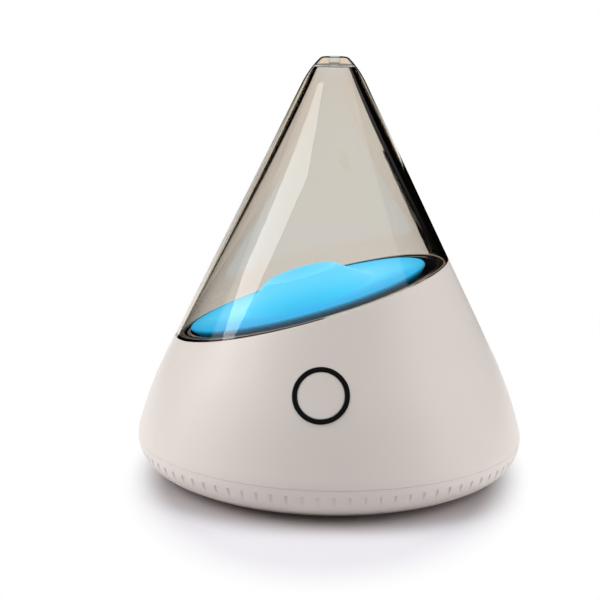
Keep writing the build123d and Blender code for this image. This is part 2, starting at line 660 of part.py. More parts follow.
def make_fan_screws():
    """Four screws through the duct's plate and the fan into the base's posts."""
    top = FAN_TOP + DUCT_PLATE
    places = [Plane(origin=(x, y, top), x_dir=(1, 0, 0), z_dir=(0, 0, 1)) for x, y in fan_holes()]
    return [screw(place, 1.2, top - 2.5, 2.4, 1.5) for place in places]


def riser_block(grow, low, high):
    """Rectangle of the riser's outline, grown all round, between two heights."""
    return block(
        RISER_NEAR - grow,
        RISER_FAR + grow,
        -RISER_HALF_WIDTH - grow,
        RISER_HALF_WIDTH + grow,
        low,
        high,
    )


def make_air_duct():
    """Plate and shallow drum over the fan, with a rectangular socket in the drum's top."""
    plate = Pos(FAN_X, 0, FAN_TOP + DUCT_PLATE / 2) * Box(FAN_SIZE, FAN_SIZE, DUCT_PLATE)
    plate = fillet(plate.edges().filter_by(Axis.Z), 3)
    duct = plate + rod(FAN_X, 0, FAN_TOP, DRUM_TOP, DRUM_RADIUS)
    duct -= rod(FAN_X, 0, FAN_TOP - 1, DRUM_TOP - DUCT_WALL, DRUM_RADIUS - DUCT_WALL)
    duct -= riser_block(CLEAR, FAN_TOP, DRUM_TOP + 1)
    for x, y in fan_holes():
        duct -= rod(x, y, 0, 30, 1.4)
    return duct


def make_air_riser():
    """Rectangular pipe plugged into the drum, its collar on the drum's top, with a spout into the tank."""
    riser = riser_block(0, DRUM_TOP - DUCT_WALL, RISER_TOP)
    riser += riser_block(RISER_COLLAR, DRUM_TOP, DRUM_TOP + DUCT_WALL)
    spout = block(
        20,
        RISER_NEAR + 1,
        -WINDOW_HALF_WIDTH - DUCT_WALL,
        WINDOW_HALF_WIDTH + DUCT_WALL,
        WINDOW_BOTTOM - DUCT_WALL,
        WINDOW_TOP + DUCT_WALL,
    )
    riser += spout - basin(0, TANK_FLOOR - TANK_FLOOR_THICKNESS)
    riser -= riser_block(-DUCT_WALL, FAN_TOP, RISER_TOP - DUCT_WALL)
    return riser - block(15, RISER_NEAR + 3, -WINDOW_HALF_WIDTH, WINDOW_HALF_WIDTH, WINDOW_BOTTOM, WINDOW_TOP)


# ---------------------------------------------------------------- button
def make_button_bezel():
    """Glossy ring let into the flank, its tube guiding the button."""
    tube_body = Pos(0, 0, (2 - BEZEL_DEPTH) / 2) * Cylinder(BEZEL_TUBE_RADIUS, 2 + BEZEL_DEPTH)
    ring = Pos(0, 0, 1 - BEZEL_SEAT / 2) * Cylinder(BEZEL_RADIUS, 2 + BEZEL_SEAT)
    bore = Cylinder(BUTTON_RADIUS + BUTTON_GAP, 40)
    return (button_frame * (tube_body + ring - bore)) & skin(-0.3)


def make_button_cap():
    """Flush cap with a skirt, a retaining flange behind the bezel and a stem on the switch."""
    head = Pos(0, 0, -0.5) * Cylinder(BUTTON_RADIUS, 5)
    skirt = Pos(0, 0, -5.1) * (Cylinder(BUTTON_RADIUS, 4.6) - Cylinder(BUTTON_RADIUS - 1.6, 10))
    flange = Pos(0, 0, -BEZEL_DEPTH - 0.75)
    flange = flange * (Cylinder(BUTTON_RADIUS + 0.8, 1.3) - Cylinder(BUTTON_RADIUS - 1.6, 10))
    stem = Pos(0, 0, -4.5) * Cylinder(2, 4)
    return (button_frame * (head + skirt + flange + stem)) & skin(0.1)


def make_switch_plunger():
    """Moving pin of the tact switch, touching the button's stem."""
    return button_frame * Pos(0, 0, -7.4) * Cylinder(1.6, 1.8)


def make_tact_switch():
    """Square switch body with four legs on the board."""
    body = Pos(0, 0, -(7.5 + BOARD_DEPTH) / 2) * Box(6, 6, BOARD_DEPTH - 7.5)
    return button_frame * (body - Pos(0, 0, -8.4) * Cylinder(1.68, 2.0))


def make_button_board():
    """Small board behind the button on two bosses."""
    board = Pos(0, 0, -BOARD_DEPTH - 0.7) * Box(34, 14, 1.4)
    for side in (-1, 1):
        board -= Pos(side * BUTTON_SCREW_X, 0, -BOARD_DEPTH) * Cylinder(1.1, 10)
    return button_frame * board


def make_button_screws():
    """Two screws from behind."""
    screws = []
    for side in (-1, 1):
        place = button_frame * Pos(side * BUTTON_SCREW_X, 0, -BOARD_DEPTH - 1.4) * Rot(180, 0, 0)
        screws.append(screw(place, 1.0, 5, 2.1, 1.3))
    return screws


# ---------------------------------------------------------------- socket
def make_dc_jack():
    """Round socket: flange outside, threaded barrel, centre pin and two solder tags."""
    flange = Pos(0, 0, 0.8) * Cylinder(JACK_FLANGE, 1.6)
    flange = chamfer(flange.edges().group_by(Axis.Z)[-1], 0.4)
    jack = flange + Pos(0, 0, -JACK_LENGTH / 2) * Cylinder(JACK_BARREL, JACK_LENGTH)
    jack -= Pos(0, 0, 1.6 - 4.75) * Cylinder(JACK_BORE, 9.5)
    jack += Pos(0, 0, -4) * Cylinder(JACK_PIN, 8.6)
    for side in (-1, 1):
        jack += Pos(side * 2.5, 0, -JACK_LENGTH - 2.4) * Box(0.6, 2.4, 5)
    return Pos(0, JACK_SEAT, JACK_HEIGHT) * Rot(-90, 0, 0) * jack


def make_jack_nut():
    """Hexagonal nut behind the wall."""
    nut = extrude(RegularPolygon(JACK_NUT_FLATS / 2, 6, major_radius=False), 2.5)
    nut -= Cylinder(JACK_BARREL + CLEAR, 20)
    return Pos(0, JACK_NUT_FACE, JACK_HEIGHT) * Rot(90, 0, 0) * nut


# ---------------------------------------------------------------- write the files
def write(name, shape):
    """One STEP file per sub-part, a group of separate solids as one compound."""
    if isinstance(shape, list):
        shape = Compound(children=[Compound(s.wrapped) if not isinstance(s, Compound) else s for s in shape])
    shape.label = name
    export_step(shape, f"parts/{name}.step")


os.makedirs("parts", exist_ok=True)
write("cone_cover", make_cone_cover())
write("upper_housing", make_upper_housing())
write("base_cover", make_base_cover())
write("inner_cover", make_inner_cover())
write("button_cap", make_button_cap())
write("button_bezel", make_button_bezel())
write("button_board", make_button_board())
write("button_screws", make_button_screws())
write("tact_switch", make_tact_switch())
write("switch_plunger", make_switch_plunger())
write("water_tank", make_water_tank())
write("tank_seal", make_tank_seal())
write("tank_screws", make_tank_screws())
write("piezo_disc", make_piezo_disc())
write("piezo_gasket", make_piezo_gasket())
write("piezo_clamp", make_piezo_clamp())
write("clamp_screws", make_clamp_screws())
write("led_board", make_led_board())
write("led_lamps", make_led_lamps())
write("led_screws", make_led_screws())
write("main_board", make_main_board())
write("board_screws", make_board_screws())
write("driver_coil", make_driver_coil())
write("heat_sink", make_heat_sink())
write("capacitors", make_capacitors())
write("fan_housing", make_fan_housing())
write("fan_impeller", make_fan_impeller())
write("fan_screws", make_fan_screws())
write("air_duct", make_air_duct())
write("air_riser", make_air_riser())
write("dc_jack", make_dc_jack())
write("jack_nut", make_jack_nut())
write("base_screws", make_base_screws())
for number, foot_place in enumerate(ring_points(0, FOOT_RING, FOOT_ANGLES), start=1):
    write(f"foot_{number}", make_foot(foot_place))
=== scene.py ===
import math
import bmesh
import bpy
from mathutils import Matrix, Quaternion, Vector


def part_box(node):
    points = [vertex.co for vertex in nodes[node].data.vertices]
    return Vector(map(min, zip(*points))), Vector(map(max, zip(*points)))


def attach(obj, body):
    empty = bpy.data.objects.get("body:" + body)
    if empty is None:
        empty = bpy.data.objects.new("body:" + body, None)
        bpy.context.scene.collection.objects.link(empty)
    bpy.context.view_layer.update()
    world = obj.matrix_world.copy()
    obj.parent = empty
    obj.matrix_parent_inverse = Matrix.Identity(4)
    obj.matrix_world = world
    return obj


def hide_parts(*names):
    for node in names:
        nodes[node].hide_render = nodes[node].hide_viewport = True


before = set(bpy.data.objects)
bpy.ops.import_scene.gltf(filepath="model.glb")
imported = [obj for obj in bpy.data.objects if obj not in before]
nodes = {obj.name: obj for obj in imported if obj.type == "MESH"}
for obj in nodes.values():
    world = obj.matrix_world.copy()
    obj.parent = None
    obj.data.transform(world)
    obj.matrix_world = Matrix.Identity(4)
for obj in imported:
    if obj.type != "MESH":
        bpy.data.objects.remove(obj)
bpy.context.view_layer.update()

# ------------------------------------------------------------------ base tray
# The base is one ABS moulding: a quarter-round ring with fine upright grooves, a flat floor with the fan's
# intake grille, and a spigot that locates the housing. Four screws from below hold the two together.
MAX_RADIUS = 0.075
SEAM_HEIGHT = 0.0145
EDGE_RADIUS = 0.01225
UNDERCUT = math.radians(63.6)
BELLY_START = math.radians(15.0)
BELLY_RADIUS = 0.1587
CONE_ANGLE = math.radians(26.25)
UNDERSIDE = 0.0015

edge_centre = Vector((MAX_RADIUS - EDGE_RADIUS, SEAM_HEIGHT))
belly_centre = edge_centre + (EDGE_RADIUS - BELLY_RADIUS) * Vector((math.cos(BELLY_START), math.sin(BELLY_START)))


def arc(centre, radius, start, end, steps):
    """Points of an arc in the (radius, height) half section."""
    turns = [start + (end - start) * i / steps for i in range(steps + 1)]
    return [(centre[0] + radius * math.cos(t), centre[1] + radius * math.sin(t)) for t in turns]


def turned(outline, steps, closed=True):
    """A closed outline of (radius, height) points spun once round the vertical axis."""
    bm = bmesh.new()
    corners = [bm.verts.new((r, 0, z)) for r, z in outline]
    ends = corners[1:] + corners[:1] if closed else corners[1:]
    sides = [bm.edges.new(pair) for pair in zip(corners, ends)]
    bmesh.ops.spin(
        bm, geom=corners + sides, cent=(0, 0, 0), axis=(0, 0, 1), angle=math.tau, steps=steps, use_merge=True
    )
    bmesh.ops.remove_doubles(bm, verts=bm.verts, dist=1e-7)
    bmesh.ops.dissolve_degenerate(bm, edges=bm.edges, dist=1e-8)
    bmesh.ops.delete(bm, geom=[e for e in bm.edges if not e.link_faces], context="EDGES")
    bmesh.ops.recalc_face_normals(bm, faces=bm.faces)
    if bm.calc_volume(signed=True) < 0:
        bmesh.ops.reverse_faces(bm, faces=bm.faces)
    return bm


def finished(bm, name, body, material, replaced=(), sharp=32):
    """A bmesh becomes an object that rides on its body and stands for the CAD nodes it shows."""
    mesh = bpy.data.meshes.new(name)
    bm.to_mesh(mesh)
    bm.free()
    mesh.shade_smooth()
    mesh.set_sharp_from_angle(angle=math.radians(sharp))
    piece = bpy.data.objects.new(name, mesh)
    bpy.context.scene.collection.objects.link(piece)
    mesh.materials.append(material)
    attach(piece, body)
    if replaced:
        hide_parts(*replaced)
    return piece


def cylinder(bm, place, radius, depth, segments=48, taper=1.0):
    """Adds a closed cylinder, its middle at the origin of the matrix place and its axis along Z."""
    bmesh.ops.create_cone(
        bm,
        cap_ends=True,
        segments=segments,
        radius1=radius,
        radius2=radius * taper,
        depth=depth,
        matrix=place,
    )


def cut(piece, cutter_bm, name, solver="EXACT"):
    """Takes a cutter's volume out of a piece for good."""
    mesh = bpy.data.meshes.new(name)
    cutter_bm.to_mesh(mesh)
    cutter_bm.free()
    cutter = bpy.data.objects.new(name, mesh)
    bpy.context.scene.collection.objects.link(cutter)
    boolean = piece.modifiers.new(name, "BOOLEAN")
    boolean.object = cutter
    boolean.operation = "DIFFERENCE"
    boolean.solver = solver
    bpy.context.view_layer.update()
    depsgraph = bpy.context.evaluated_depsgraph_get()
    result = bpy.data.meshes.new_from_object(piece.evaluated_get(depsgraph))
    result.name = piece.name
    piece.modifiers.clear()
    piece.data = result
    bpy.data.objects.remove(cutter)
    result.shade_smooth()
    result.set_sharp_from_angle(angle=math.radians(32))


def moulded_grain():
    """Node group: the fine satin grain of a moulded surface, with slow drifts of tone."""
    group = bpy.data.node_groups.new("moulded grain", "ShaderNodeTree")
    for socket, kind in (("Colour", "NodeSocketColor"), ("Scale", "NodeSocketFloat"), ("Roughness", "NodeSocketFloat"),
                         ("Drift", "NodeSocketFloat")):
        group.interface.new_socket(socket, in_out="INPUT", socket_type=kind)
    for socket, kind in (("Colour", "NodeSocketColor"), ("Roughness", "NodeSocketFloat"), ("Height", "NodeSocketFloat")):
        group.interface.new_socket(socket, in_out="OUTPUT", socket_type=kind)
    n, link = group.nodes, group.links.new
    enter, leave = n.new("NodeGroupInput"), n.new("NodeGroupOutput")
    where = n.new("ShaderNodeTexCoord")
    fine = n.new("ShaderNodeTexNoise")
    fine.inputs["Detail"].default_value = 3.0
    fine.inputs["Roughness"].default_value = 0.6
    slow = n.new("ShaderNodeTexNoise")
    slow.inputs["Scale"].default_value = 22.0
    slow.inputs["Detail"].default_value = 2.0
    link(where.outputs["Object"], fine.inputs["Vector"])
    link(where.outputs["Object"], slow.inputs["Vector"])
    link(enter.outputs["Scale"], fine.inputs["Scale"])
    tone = n.new("ShaderNodeMapRange")
    tone.inputs["From Min"].default_value = 0.3
    tone.inputs["From Max"].default_value = 0.7
    link(slow.outputs["Fac"], tone.inputs["Value"])
    darker = n.new("ShaderNodeMath")
    darker.operation = "SUBTRACT"
    darker.inputs[0].default_value = 1.0
    link(enter.outputs["Drift"], darker.inputs[1])
    link(darker.outputs[0], tone.inputs["To Min"])
    tone.inputs["To Max"].default_value = 1.0
    shade = n.new("ShaderNodeVectorMath")
    shade.operation = "SCALE"
    link(enter.outputs["Colour"], shade.inputs[0])
    link(tone.outputs["Result"], shade.inputs["Scale"])
    link(shade.outputs["Vector"], leave.inputs["Colour"])
    sheen = n.new("ShaderNodeMath")
    sheen.operation = "MULTIPLY_ADD"
    sheen.inputs[1].default_value = 0.12
    link(fine.outputs["Fac"], sheen.inputs[0])
    link(enter.outputs["Roughness"], sheen.inputs[2])
    link(sheen.outputs[0], leave.inputs["Roughness"])
    link(fine.outputs["Fac"], leave.inputs["Height"])
    return group


grain = moulded_grain()


def moulded(name, colour, roughness, scale=2400.0, drift=0.03, bump=0.00002, coat=0.0, metallic=0.0):
    """Moulded plastic or rubber with the fine grain of its tool, or metal with the grain of its plating."""
    material = bpy.data.materials.new(name)
    material.use_nodes = True
    n, link = material.node_tree.nodes, material.node_tree.links.new
    shader = n["Principled BSDF"]
    skin = n.new("ShaderNodeGroup")
    skin.node_tree = grain
    skin.inputs["Colour"].default_value = (*colour, 1.0)
    skin.inputs["Scale"].default_value = scale
    skin.inputs["Roughness"].default_value = roughness
    skin.inputs["Drift"].default_value = drift
    relief = n.new("ShaderNodeBump")
    relief.inputs["Strength"].default_value = 0.35
    relief.inputs["Distance"].default_value = bump
    link(skin.outputs["Colour"], shader.inputs["Base Color"])
    link(skin.outputs["Roughness"], shader.inputs["Roughness"])
    link(skin.outputs["Height"], relief.inputs["Height"])
    link(relief.outputs["Normal"], shader.inputs["Normal"])
    shader.inputs["Coat Weight"].default_value = coat
    shader.inputs["Metallic"].default_value = metallic
    return material


BEIGE = (0.665, 0.610, 0.565)
base_plastic = moulded("base beige abs", BEIGE, 0.30)

GROOVES = 84
STEPS_PER_GROOVE = 5
GROOVE_RADIUS = 0.0008
GROOVE_DEPTH = 0.00035
GROOVE_HALF_LENGTH = 0.0024
GROOVE_ANGLE = 24.0
GROOVE_LEAN = 8.0
BASE_TOP = 0.01445
BASE_WALL = 0.0026
SPIGOT_TOP = 0.0175


def base_outline():
    """Half section of the tray, from the middle of its underside round the edge to the spigot and the floor."""
    under = arc(edge_centre, EDGE_RADIUS, -UNDERCUT, math.radians(-0.9), 26)
    top = arc((MAX_RADIUS - 0.00015, BASE_TOP - 0.00015), 0.00015, 0, math.pi / 2, 3)
    spigot = [(0.0718, BASE_TOP), (0.0718, SPIGOT_TOP), (0.0706, SPIGOT_TOP)]
    inner = arc(edge_centre, EDGE_RADIUS - 0.0044, 0, -UNDERCUT, 8)
    floor = UNDERSIDE + BASE_WALL
    foot = under[0][0] - (under[0][1] - UNDERSIDE) * math.tan(UNDERCUT)
    return [(0.0, UNDERSIDE), (foot, UNDERSIDE)] + under + top + spigot + inner + [(0.058, floor), (0.0, floor)]


base_tray = finished(
    turned(base_outline(), GROOVES * STEPS_PER_GROOVE), "base_tray", "housing", base_plastic, ["base_cover"]
)

flutes = bmesh.new()
groove_turn = math.radians(GROOVE_ANGLE)
groove_middle = edge_centre + EDGE_RADIUS * Vector((math.cos(groove_turn), -math.sin(groove_turn)))
groove_place = (
    Matrix.Translation((groove_middle.x, 0, groove_middle.y))
    @ Matrix.Rotation(math.radians(GROOVE_ANGLE - GROOVE_LEAN), 4, "Y")
    @ Matrix.Translation((GROOVE_RADIUS - GROOVE_DEPTH, 0, -GROOVE_HALF_LENGTH))
)
for number in range(GROOVES):
    turn = Matrix.Rotation(math.tau * number / GROOVES, 4, "Z")
    cylinder(flutes, turn @ groove_place, GROOVE_RADIUS, 4 * GROOVE_HALF_LENGTH, segments=28)
cut(base_tray, flutes, "base_flutes")

PILLAR_RING = 0.061
PILLAR_ANGLES = (30, 150, 210, 330)
FOOT_RING = 0.052
FOOT_ANGLES = (45, 135, 225, 315)
FAN_X = 0.036


def round_places(radius, angles, height):
    """Upright places on a circle round the axis."""
    return [
        Matrix.Translation((radius * math.cos(math.radians(a)), radius * math.sin(math.radians(a)), height))
        for a in angles
    ]


holes = bmesh.new()
for place in round_places(FOOT_RING, FOOT_ANGLES, 0.0015):
    cylinder(holes, place, 0.0060, 0.002)
for place in round_places(PILLAR_RING, PILLAR_ANGLES, 0.0025):
    cylinder(holes, place, 0.0033, 0.005)
for inner, outer in ((0.0043, 0.0065), (0.0083, 0.0105), (0.0123, 0.0145), (0.0158, 0.0180)):
    for turn in (0, 60, 120, 180, 240, 300):
        gap = math.asin(0.001 / inner)
        start = math.radians(turn + 30) + gap
        corner = [holes.verts.new((FAN_X + r * math.cos(start), r * math.sin(start), 0)) for r in (inner, outer)]
        side = holes.edges.new(corner)
        swept = bmesh.ops.spin(
            holes,
            geom=corner + [side],
            cent=(FAN_X, 0, 0),
            axis=(0, 0, 1),
            angle=math.radians(60) - 2 * gap,
            steps=10,
        )
        slot_faces = {f for v in swept["geom_last"] if isinstance(v, bmesh.types.BMVert) for f in v.link_faces}
        reached = set(slot_faces)
        while slot_faces:
            slot_faces = {g for f in slot_faces for e in f.edges for g in e.link_faces} - reached
            reached |= slot_faces
        raised = bmesh.ops.extrude_face_region(holes, geom=list(reached))
        tops = [v for v in raised["geom"] if isinstance(v, bmesh.types.BMVert)]
        bmesh.ops.translate(holes, verts=tops, vec=(0, 0, 0.008))
bmesh.ops.recalc_face_normals(holes, faces=holes.faces)
cut(base_tray, holes, "base_holes", "MANIFOLD")

# ------------------------------------------------------------------ feet
# Four soft rubber pads glued into round recesses in the underside. The object rests on nothing else.
foot_rubber = moulded("foot rubber", (0.035, 0.034, 0.033), 0.62, scale=1500.0, bump=0.00005)
for place, number in zip(round_places(FOOT_RING, FOOT_ANGLES, 0.00125), range(1, 5)):
    pad = bmesh.new()
    cylinder(pad, place, 0.0060, 0.0025, segments=64)
    rims = [e for e in pad.edges if abs(e.calc_face_angle(0) - math.pi / 2) < 0.2]
    low_rims = [e for e in rims if max(v.co.z for v in e.verts) < 0.0005]
    bmesh.ops.bevel(pad, geom=low_rims, offset=0.0005, segments=4, profile=0.5, affect="EDGES", material=-1)
    finished(pad, f"foot_pad_{number}", "housing", foot_rubber, [f"foot_{number}"])



def dress(material, *names):
    """Gives CAD nodes that stay as they are their finish."""
    for name in names:
        for place in nodes[name].material_slots:
            place.material = material


# ------------------------------------------------------------------ fan and air duct
# A bought 40 mm axial fan of black plastic, screwed to the floor over the intake slots. A plenum lies on it, and
# a natural white riser carries the air up to the tank's window. Four long screws hold fan and plenum.
fan_black = moulded("fan black plastic", (0.020, 0.020, 0.022), 0.50, scale=1800.0, drift=0.10)
impeller_black = moulded("impeller black plastic", (0.027, 0.027, 0.030), 0.36, scale=1500.0, drift=0.12)
duct_white = moulded("natural white plastic", (0.66, 0.655, 0.63), 0.42, scale=1600.0, drift=0.06)
zinc_plate = moulded("zinc plated steel", (0.58, 0.59, 0.60), 0.26, scale=900.0, drift=0.22, metallic=1.0)
dress(fan_black, "fan_housing")
dress(impeller_black, "fan_impeller")
dress(duct_white, "air_duct", "air_riser")
dress(zinc_plate, "fan_screws")


# ------------------------------------------------------------------ control board
# One glass-fibre board under green solder mask drives the transducer, the lamps and the fan. The coil, the
# driver's heat sink and two capacitors stand on it, and four screws hold it to the base's bosses.
def solder_mask(name, mask, track, pitch):
    """Lacquered circuit board: tracks and round pads show faintly under the mask."""
    material = bpy.data.materials.new(name)
    material.use_nodes = True
    n, link = material.node_tree.nodes, material.node_tree.links.new
    shader = n["Principled BSDF"]
    where = n.new("ShaderNodeTexCoord")
    runs = n.new("ShaderNodeTexBrick")
    runs.offset = 0.37
    runs.inputs["Color1"].default_value = (*mask, 1)
    runs.inputs["Color2"].default_value = (*[0.86 * c for c in mask], 1)
    runs.inputs["Mortar"].default_value = (*track, 1)
    runs.inputs["Scale"].default_value = 1.0
    runs.inputs["Mortar Size"].default_value = 0.08 * pitch
    runs.inputs["Brick Width"].default_value = 3.1 * pitch
    runs.inputs["Row Height"].default_value = pitch
    link(where.outputs["Object"], runs.inputs["Vector"])
    pads = n.new("ShaderNodeTexVoronoi")
    pads.inputs["Scale"].default_value = 0.35 / pitch
    link(where.outputs["Object"], pads.inputs["Vector"])
    round_pad = n.new("ShaderNodeMapRange")
    round_pad.inputs["From Min"].default_value = 0.16
    round_pad.inputs["From Max"].default_value = 0.13
    link(pads.outputs["Distance"], round_pad.inputs["Value"])
    tinned = n.new("ShaderNodeMix")
    tinned.data_type = "RGBA"
    tinned.inputs["B"].default_value = (0.55, 0.54, 0.50, 1)
    link(round_pad.outputs["Result"], tinned.inputs["Factor"])
    link(runs.outputs["Color"], tinned.inputs["A"])
    link(tinned.outputs["Result"], shader.inputs["Base Color"])
    lacquer = n.new("ShaderNodeTexNoise")
    lacquer.inputs["Scale"].default_value = 900.0
    link(where.outputs["Object"], lacquer.inputs["Vector"])
    sheen = n.new("ShaderNodeMapRange")
    sheen.inputs["To Min"].default_value = 0.22
    sheen.inputs["To Max"].default_value = 0.34
    link(lacquer.outputs["Fac"], sheen.inputs["Value"])
    link(sheen.outputs["Result"], shader.inputs["Roughness"])
    relief = n.new("ShaderNodeBump")
    relief.inputs["Strength"].default_value = 0.3
    relief.inputs["Distance"].default_value = 0.00004
    link(runs.outputs["Fac"], relief.inputs["Height"])
    link(relief.outputs["Normal"], shader.inputs["Normal"])
    return material


def coil_finish():
    """Dark ferrite flanges with close turns of lacquered copper wire between them."""
    material = bpy.data.materials.new("ferrite and copper")
    material.use_nodes = True
    n, link = material.node_tree.nodes, material.node_tree.links.new
    shader = n["Principled BSDF"]
    low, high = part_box("driver_coil")
    where = n.new("ShaderNodeTexCoord")
    parts = n.new("ShaderNodeSeparateXYZ")
    link(where.outputs["Object"], parts.inputs[0])
    winding = n.new("ShaderNodeMath")
    winding.operation = "COMPARE"
    winding.inputs[1].default_value = (low.z + high.z) / 2
    winding.inputs[2].default_value = (high.z - low.z) * 0.30
    link(parts.outputs["Z"], winding.inputs[0])
    turns = n.new("ShaderNodeTexWave")
    turns.bands_direction = "Z"
    turns.inputs["Scale"].default_value = 700.0
    link(where.outputs["Object"], turns.inputs["Vector"])
    wire = n.new("ShaderNodeValToRGB")
    wire.color_ramp.elements[0].color = (0.12, 0.035, 0.012, 1)
    wire.color_ramp.elements[1].color = (0.62, 0.24, 0.09, 1)
    link(turns.outputs["Fac"], wire.inputs["Fac"])
    both = n.new("ShaderNodeMix")
    both.data_type = "RGBA"
    both.inputs["A"].default_value = (0.035, 0.035, 0.040, 1)
    link(winding.outputs[0], both.inputs["Factor"])
    link(wire.outputs["Color"], both.inputs["B"])
    link(both.outputs["Result"], shader.inputs["Base Color"])
    link(winding.outputs[0], shader.inputs["Metallic"])
    shader.inputs["Roughness"].default_value = 0.38
    return material


green_mask = solder_mask("green solder mask", (0.012, 0.12, 0.045), (0.03, 0.22, 0.08), 0.0022)
dress(green_mask, "main_board")
dress(zinc_plate, "board_screws", "base_screws")
dress(coil_finish(), "driver_coil")
dress(moulded("extruded aluminium", (0.62, 0.63, 0.64), 0.34, scale=500.0, drift=0.10, metallic=1.0), "heat_sink")
dress(moulded("capacitor sleeve", (0.018, 0.026, 0.055), 0.22, scale=600.0, drift=0.15, coat=0.3), "capacitors")

# ------------------------------------------------------------------ housing
# The belly and lower cone, one thin ABS moulding cut off by the slanted parting plane. A thin lip stands up
# inside its rim to centre the cover, and a ledge below carries the tank. Front and back have one hole each.
RIM_HEIGHT = 0.071
RIM_TILT = math.radians(16.5)
WALL = 0.003
LIP_FACE = 0.0018
LIP_RISE = 0.0006
LEDGE_LOW = -0.0106
LEDGE_TOP = -0.0086
LEDGE_HOLE = (-0.0073, 0.0448, 0.0422)
HOUSING_BOTTOM = 0.01455
STEPS = 288

rim_normal = Vector((-math.sin(RIM_TILT), 0, math.cos(RIM_TILT)))
rim_place = Matrix.Translation((0, 0, RIM_HEIGHT)) @ Matrix.Rotation(-RIM_TILT, 4, "Y")
cone_start = arc(belly_centre, BELLY_RADIUS, CONE_ANGLE, CONE_ANGLE, 1)[0]
APEX = cone_start[1] + cone_start[0] / math.tan(CONE_ANGLE)


def cone_point(inset, height):
    """Point of the straight cone's half section, moved inwards by inset."""
    return ((APEX - height) * math.tan(CONE_ANGLE) - inset / math.cos(CONE_ANGLE), height)


def skin(inset, low, high, rows):
    """The body's skin moved inwards by inset, from near the seam up to a height on the straight cone."""
    low_turn = math.asin((low - edge_centre.y) / (EDGE_RADIUS - inset))
    edge = arc(edge_centre, EDGE_RADIUS - inset, low_turn, BELLY_START, 5)
    belly = arc(belly_centre, BELLY_RADIUS - inset, BELLY_START, CONE_ANGLE, 14)
    top_of_belly = belly[-1][1]
    cone = [cone_point(inset, top_of_belly + (high - top_of_belly) * i / rows) for i in range(1, rows + 1)]
    return edge + belly[1:] + cone


def slice_slanted(bm, offset, keep_below):
    """Cuts a bmesh along a plane parallel to the parting plane and drops one side."""
    bmesh.ops.bisect_plane(
        bm,
        geom=bm.verts[:] + bm.edges[:] + bm.faces[:],
        dist=1e-7,
        plane_co=rim_place @ Vector((0, 0, offset)),
        plane_no=rim_normal,
        clear_outer=keep_below,
        clear_inner=not keep_below,
    )


def close_rim(bm):
    """Bridges the two open loops that a slice leaves on a wall."""
    rim = [e for e in bm.edges if e.is_boundary]
    bmesh.ops.bridge_loops(bm, edges=rim)
    bmesh.ops.recalc_face_normals(bm, faces=bm.faces)


def slanted_ring(outer_inset, inner_inset, low, high):
    """Ring between two insets of the cone, between two planes parallel to the parting plane."""
    top, bottom = 0.100, 0.040
    ring = turned(
        [cone_point(outer_inset, bottom), cone_point(outer_inset, top), cone_point(inner_inset, top),
         cone_point(inner_inset, bottom)],
        STEPS,
    )
    slice_slanted(ring, high, True)
    close_rim(ring)
    slice_slanted(ring, low, False)
    close_rim(ring)
    return ring


def soften(bm, offset, width, segments):
    """Rounds the edges that lie in a plane parallel to the parting plane and turn sharply."""
    back = rim_place.inverted()
    chosen = [
        e
        for e in bm.edges
        if all(abs((back @ v.co).z - offset) < 1e-6 for v in e.verts) and abs(e.calc_face_angle(0)) > 0.5
    ]
    bmesh.ops.bevel(bm, geom=chosen, offset=width, segments=segments, profile=0.5, affect="EDGES", material=-1)


def joined(target, source):
    """Adds one bmesh's shapes to another."""
    mesh = bpy.data.meshes.new("joining")
    source.to_mesh(mesh)
    target.from_mesh(mesh)
    source.free()
    bpy.data.meshes.remove(mesh)


def cone_oval(inset, offset):
    """Centre and half axes of the inset cone's section, parallel to the parting plane at that offset."""
    rise = APEX - inset / math.sin(CONE_ANGLE) - RIM_HEIGHT - offset * math.cos(RIM_TILT)
    slope = math.tan(CONE_ANGLE)
    right_end = (rise * slope + offset * math.sin(RIM_TILT)) / (math.cos(RIM_TILT) + math.sin(RIM_TILT) * slope)
    left_end = (offset * math.sin(RIM_TILT) - rise * slope) / (math.cos(RIM_TILT) - math.sin(RIM_TILT) * slope)
    shift = (left_end + right_end) / 2
    radius = (rise - shift * math.sin(RIM_TILT)) * slope
    width = math.sqrt(radius**2 - (shift * math.cos(RIM_TILT) - offset * math.sin(RIM_TILT)) ** 2)
    return shift, (right_end - left_end) / 2, width


def oval(bm, shift, length, width, height, steps):
    """Loop of vertices: an ellipse parallel to the parting plane, given by its centre and half axes."""
    made = bmesh.ops.create_circle(bm, segments=steps, radius=1.0)["verts"]
    bmesh.ops.scale(bm, vec=(length, width, 1), verts=made)
    bmesh.ops.translate(bm, vec=(shift, 0, height), verts=made)
    return made


def loop_edges(verts):
    """Edges of a loop."""
    inside = set(verts)
    return [e for e in {e for v in verts for e in v.link_edges} if set(e.verts) <= inside]


def bridged(bm, loops):
    """Joins loops one after the other into a closed ring and sets it on the parting plane."""
    for first, second in zip(loops, loops[1:] + loops[:1]):
        bmesh.ops.bridge_loops(bm, edges=loop_edges(first) + loop_edges(second))
    bmesh.ops.recalc_face_normals(bm, faces=bm.faces)
    bmesh.ops.transform(bm, matrix=rim_place, verts=bm.verts)


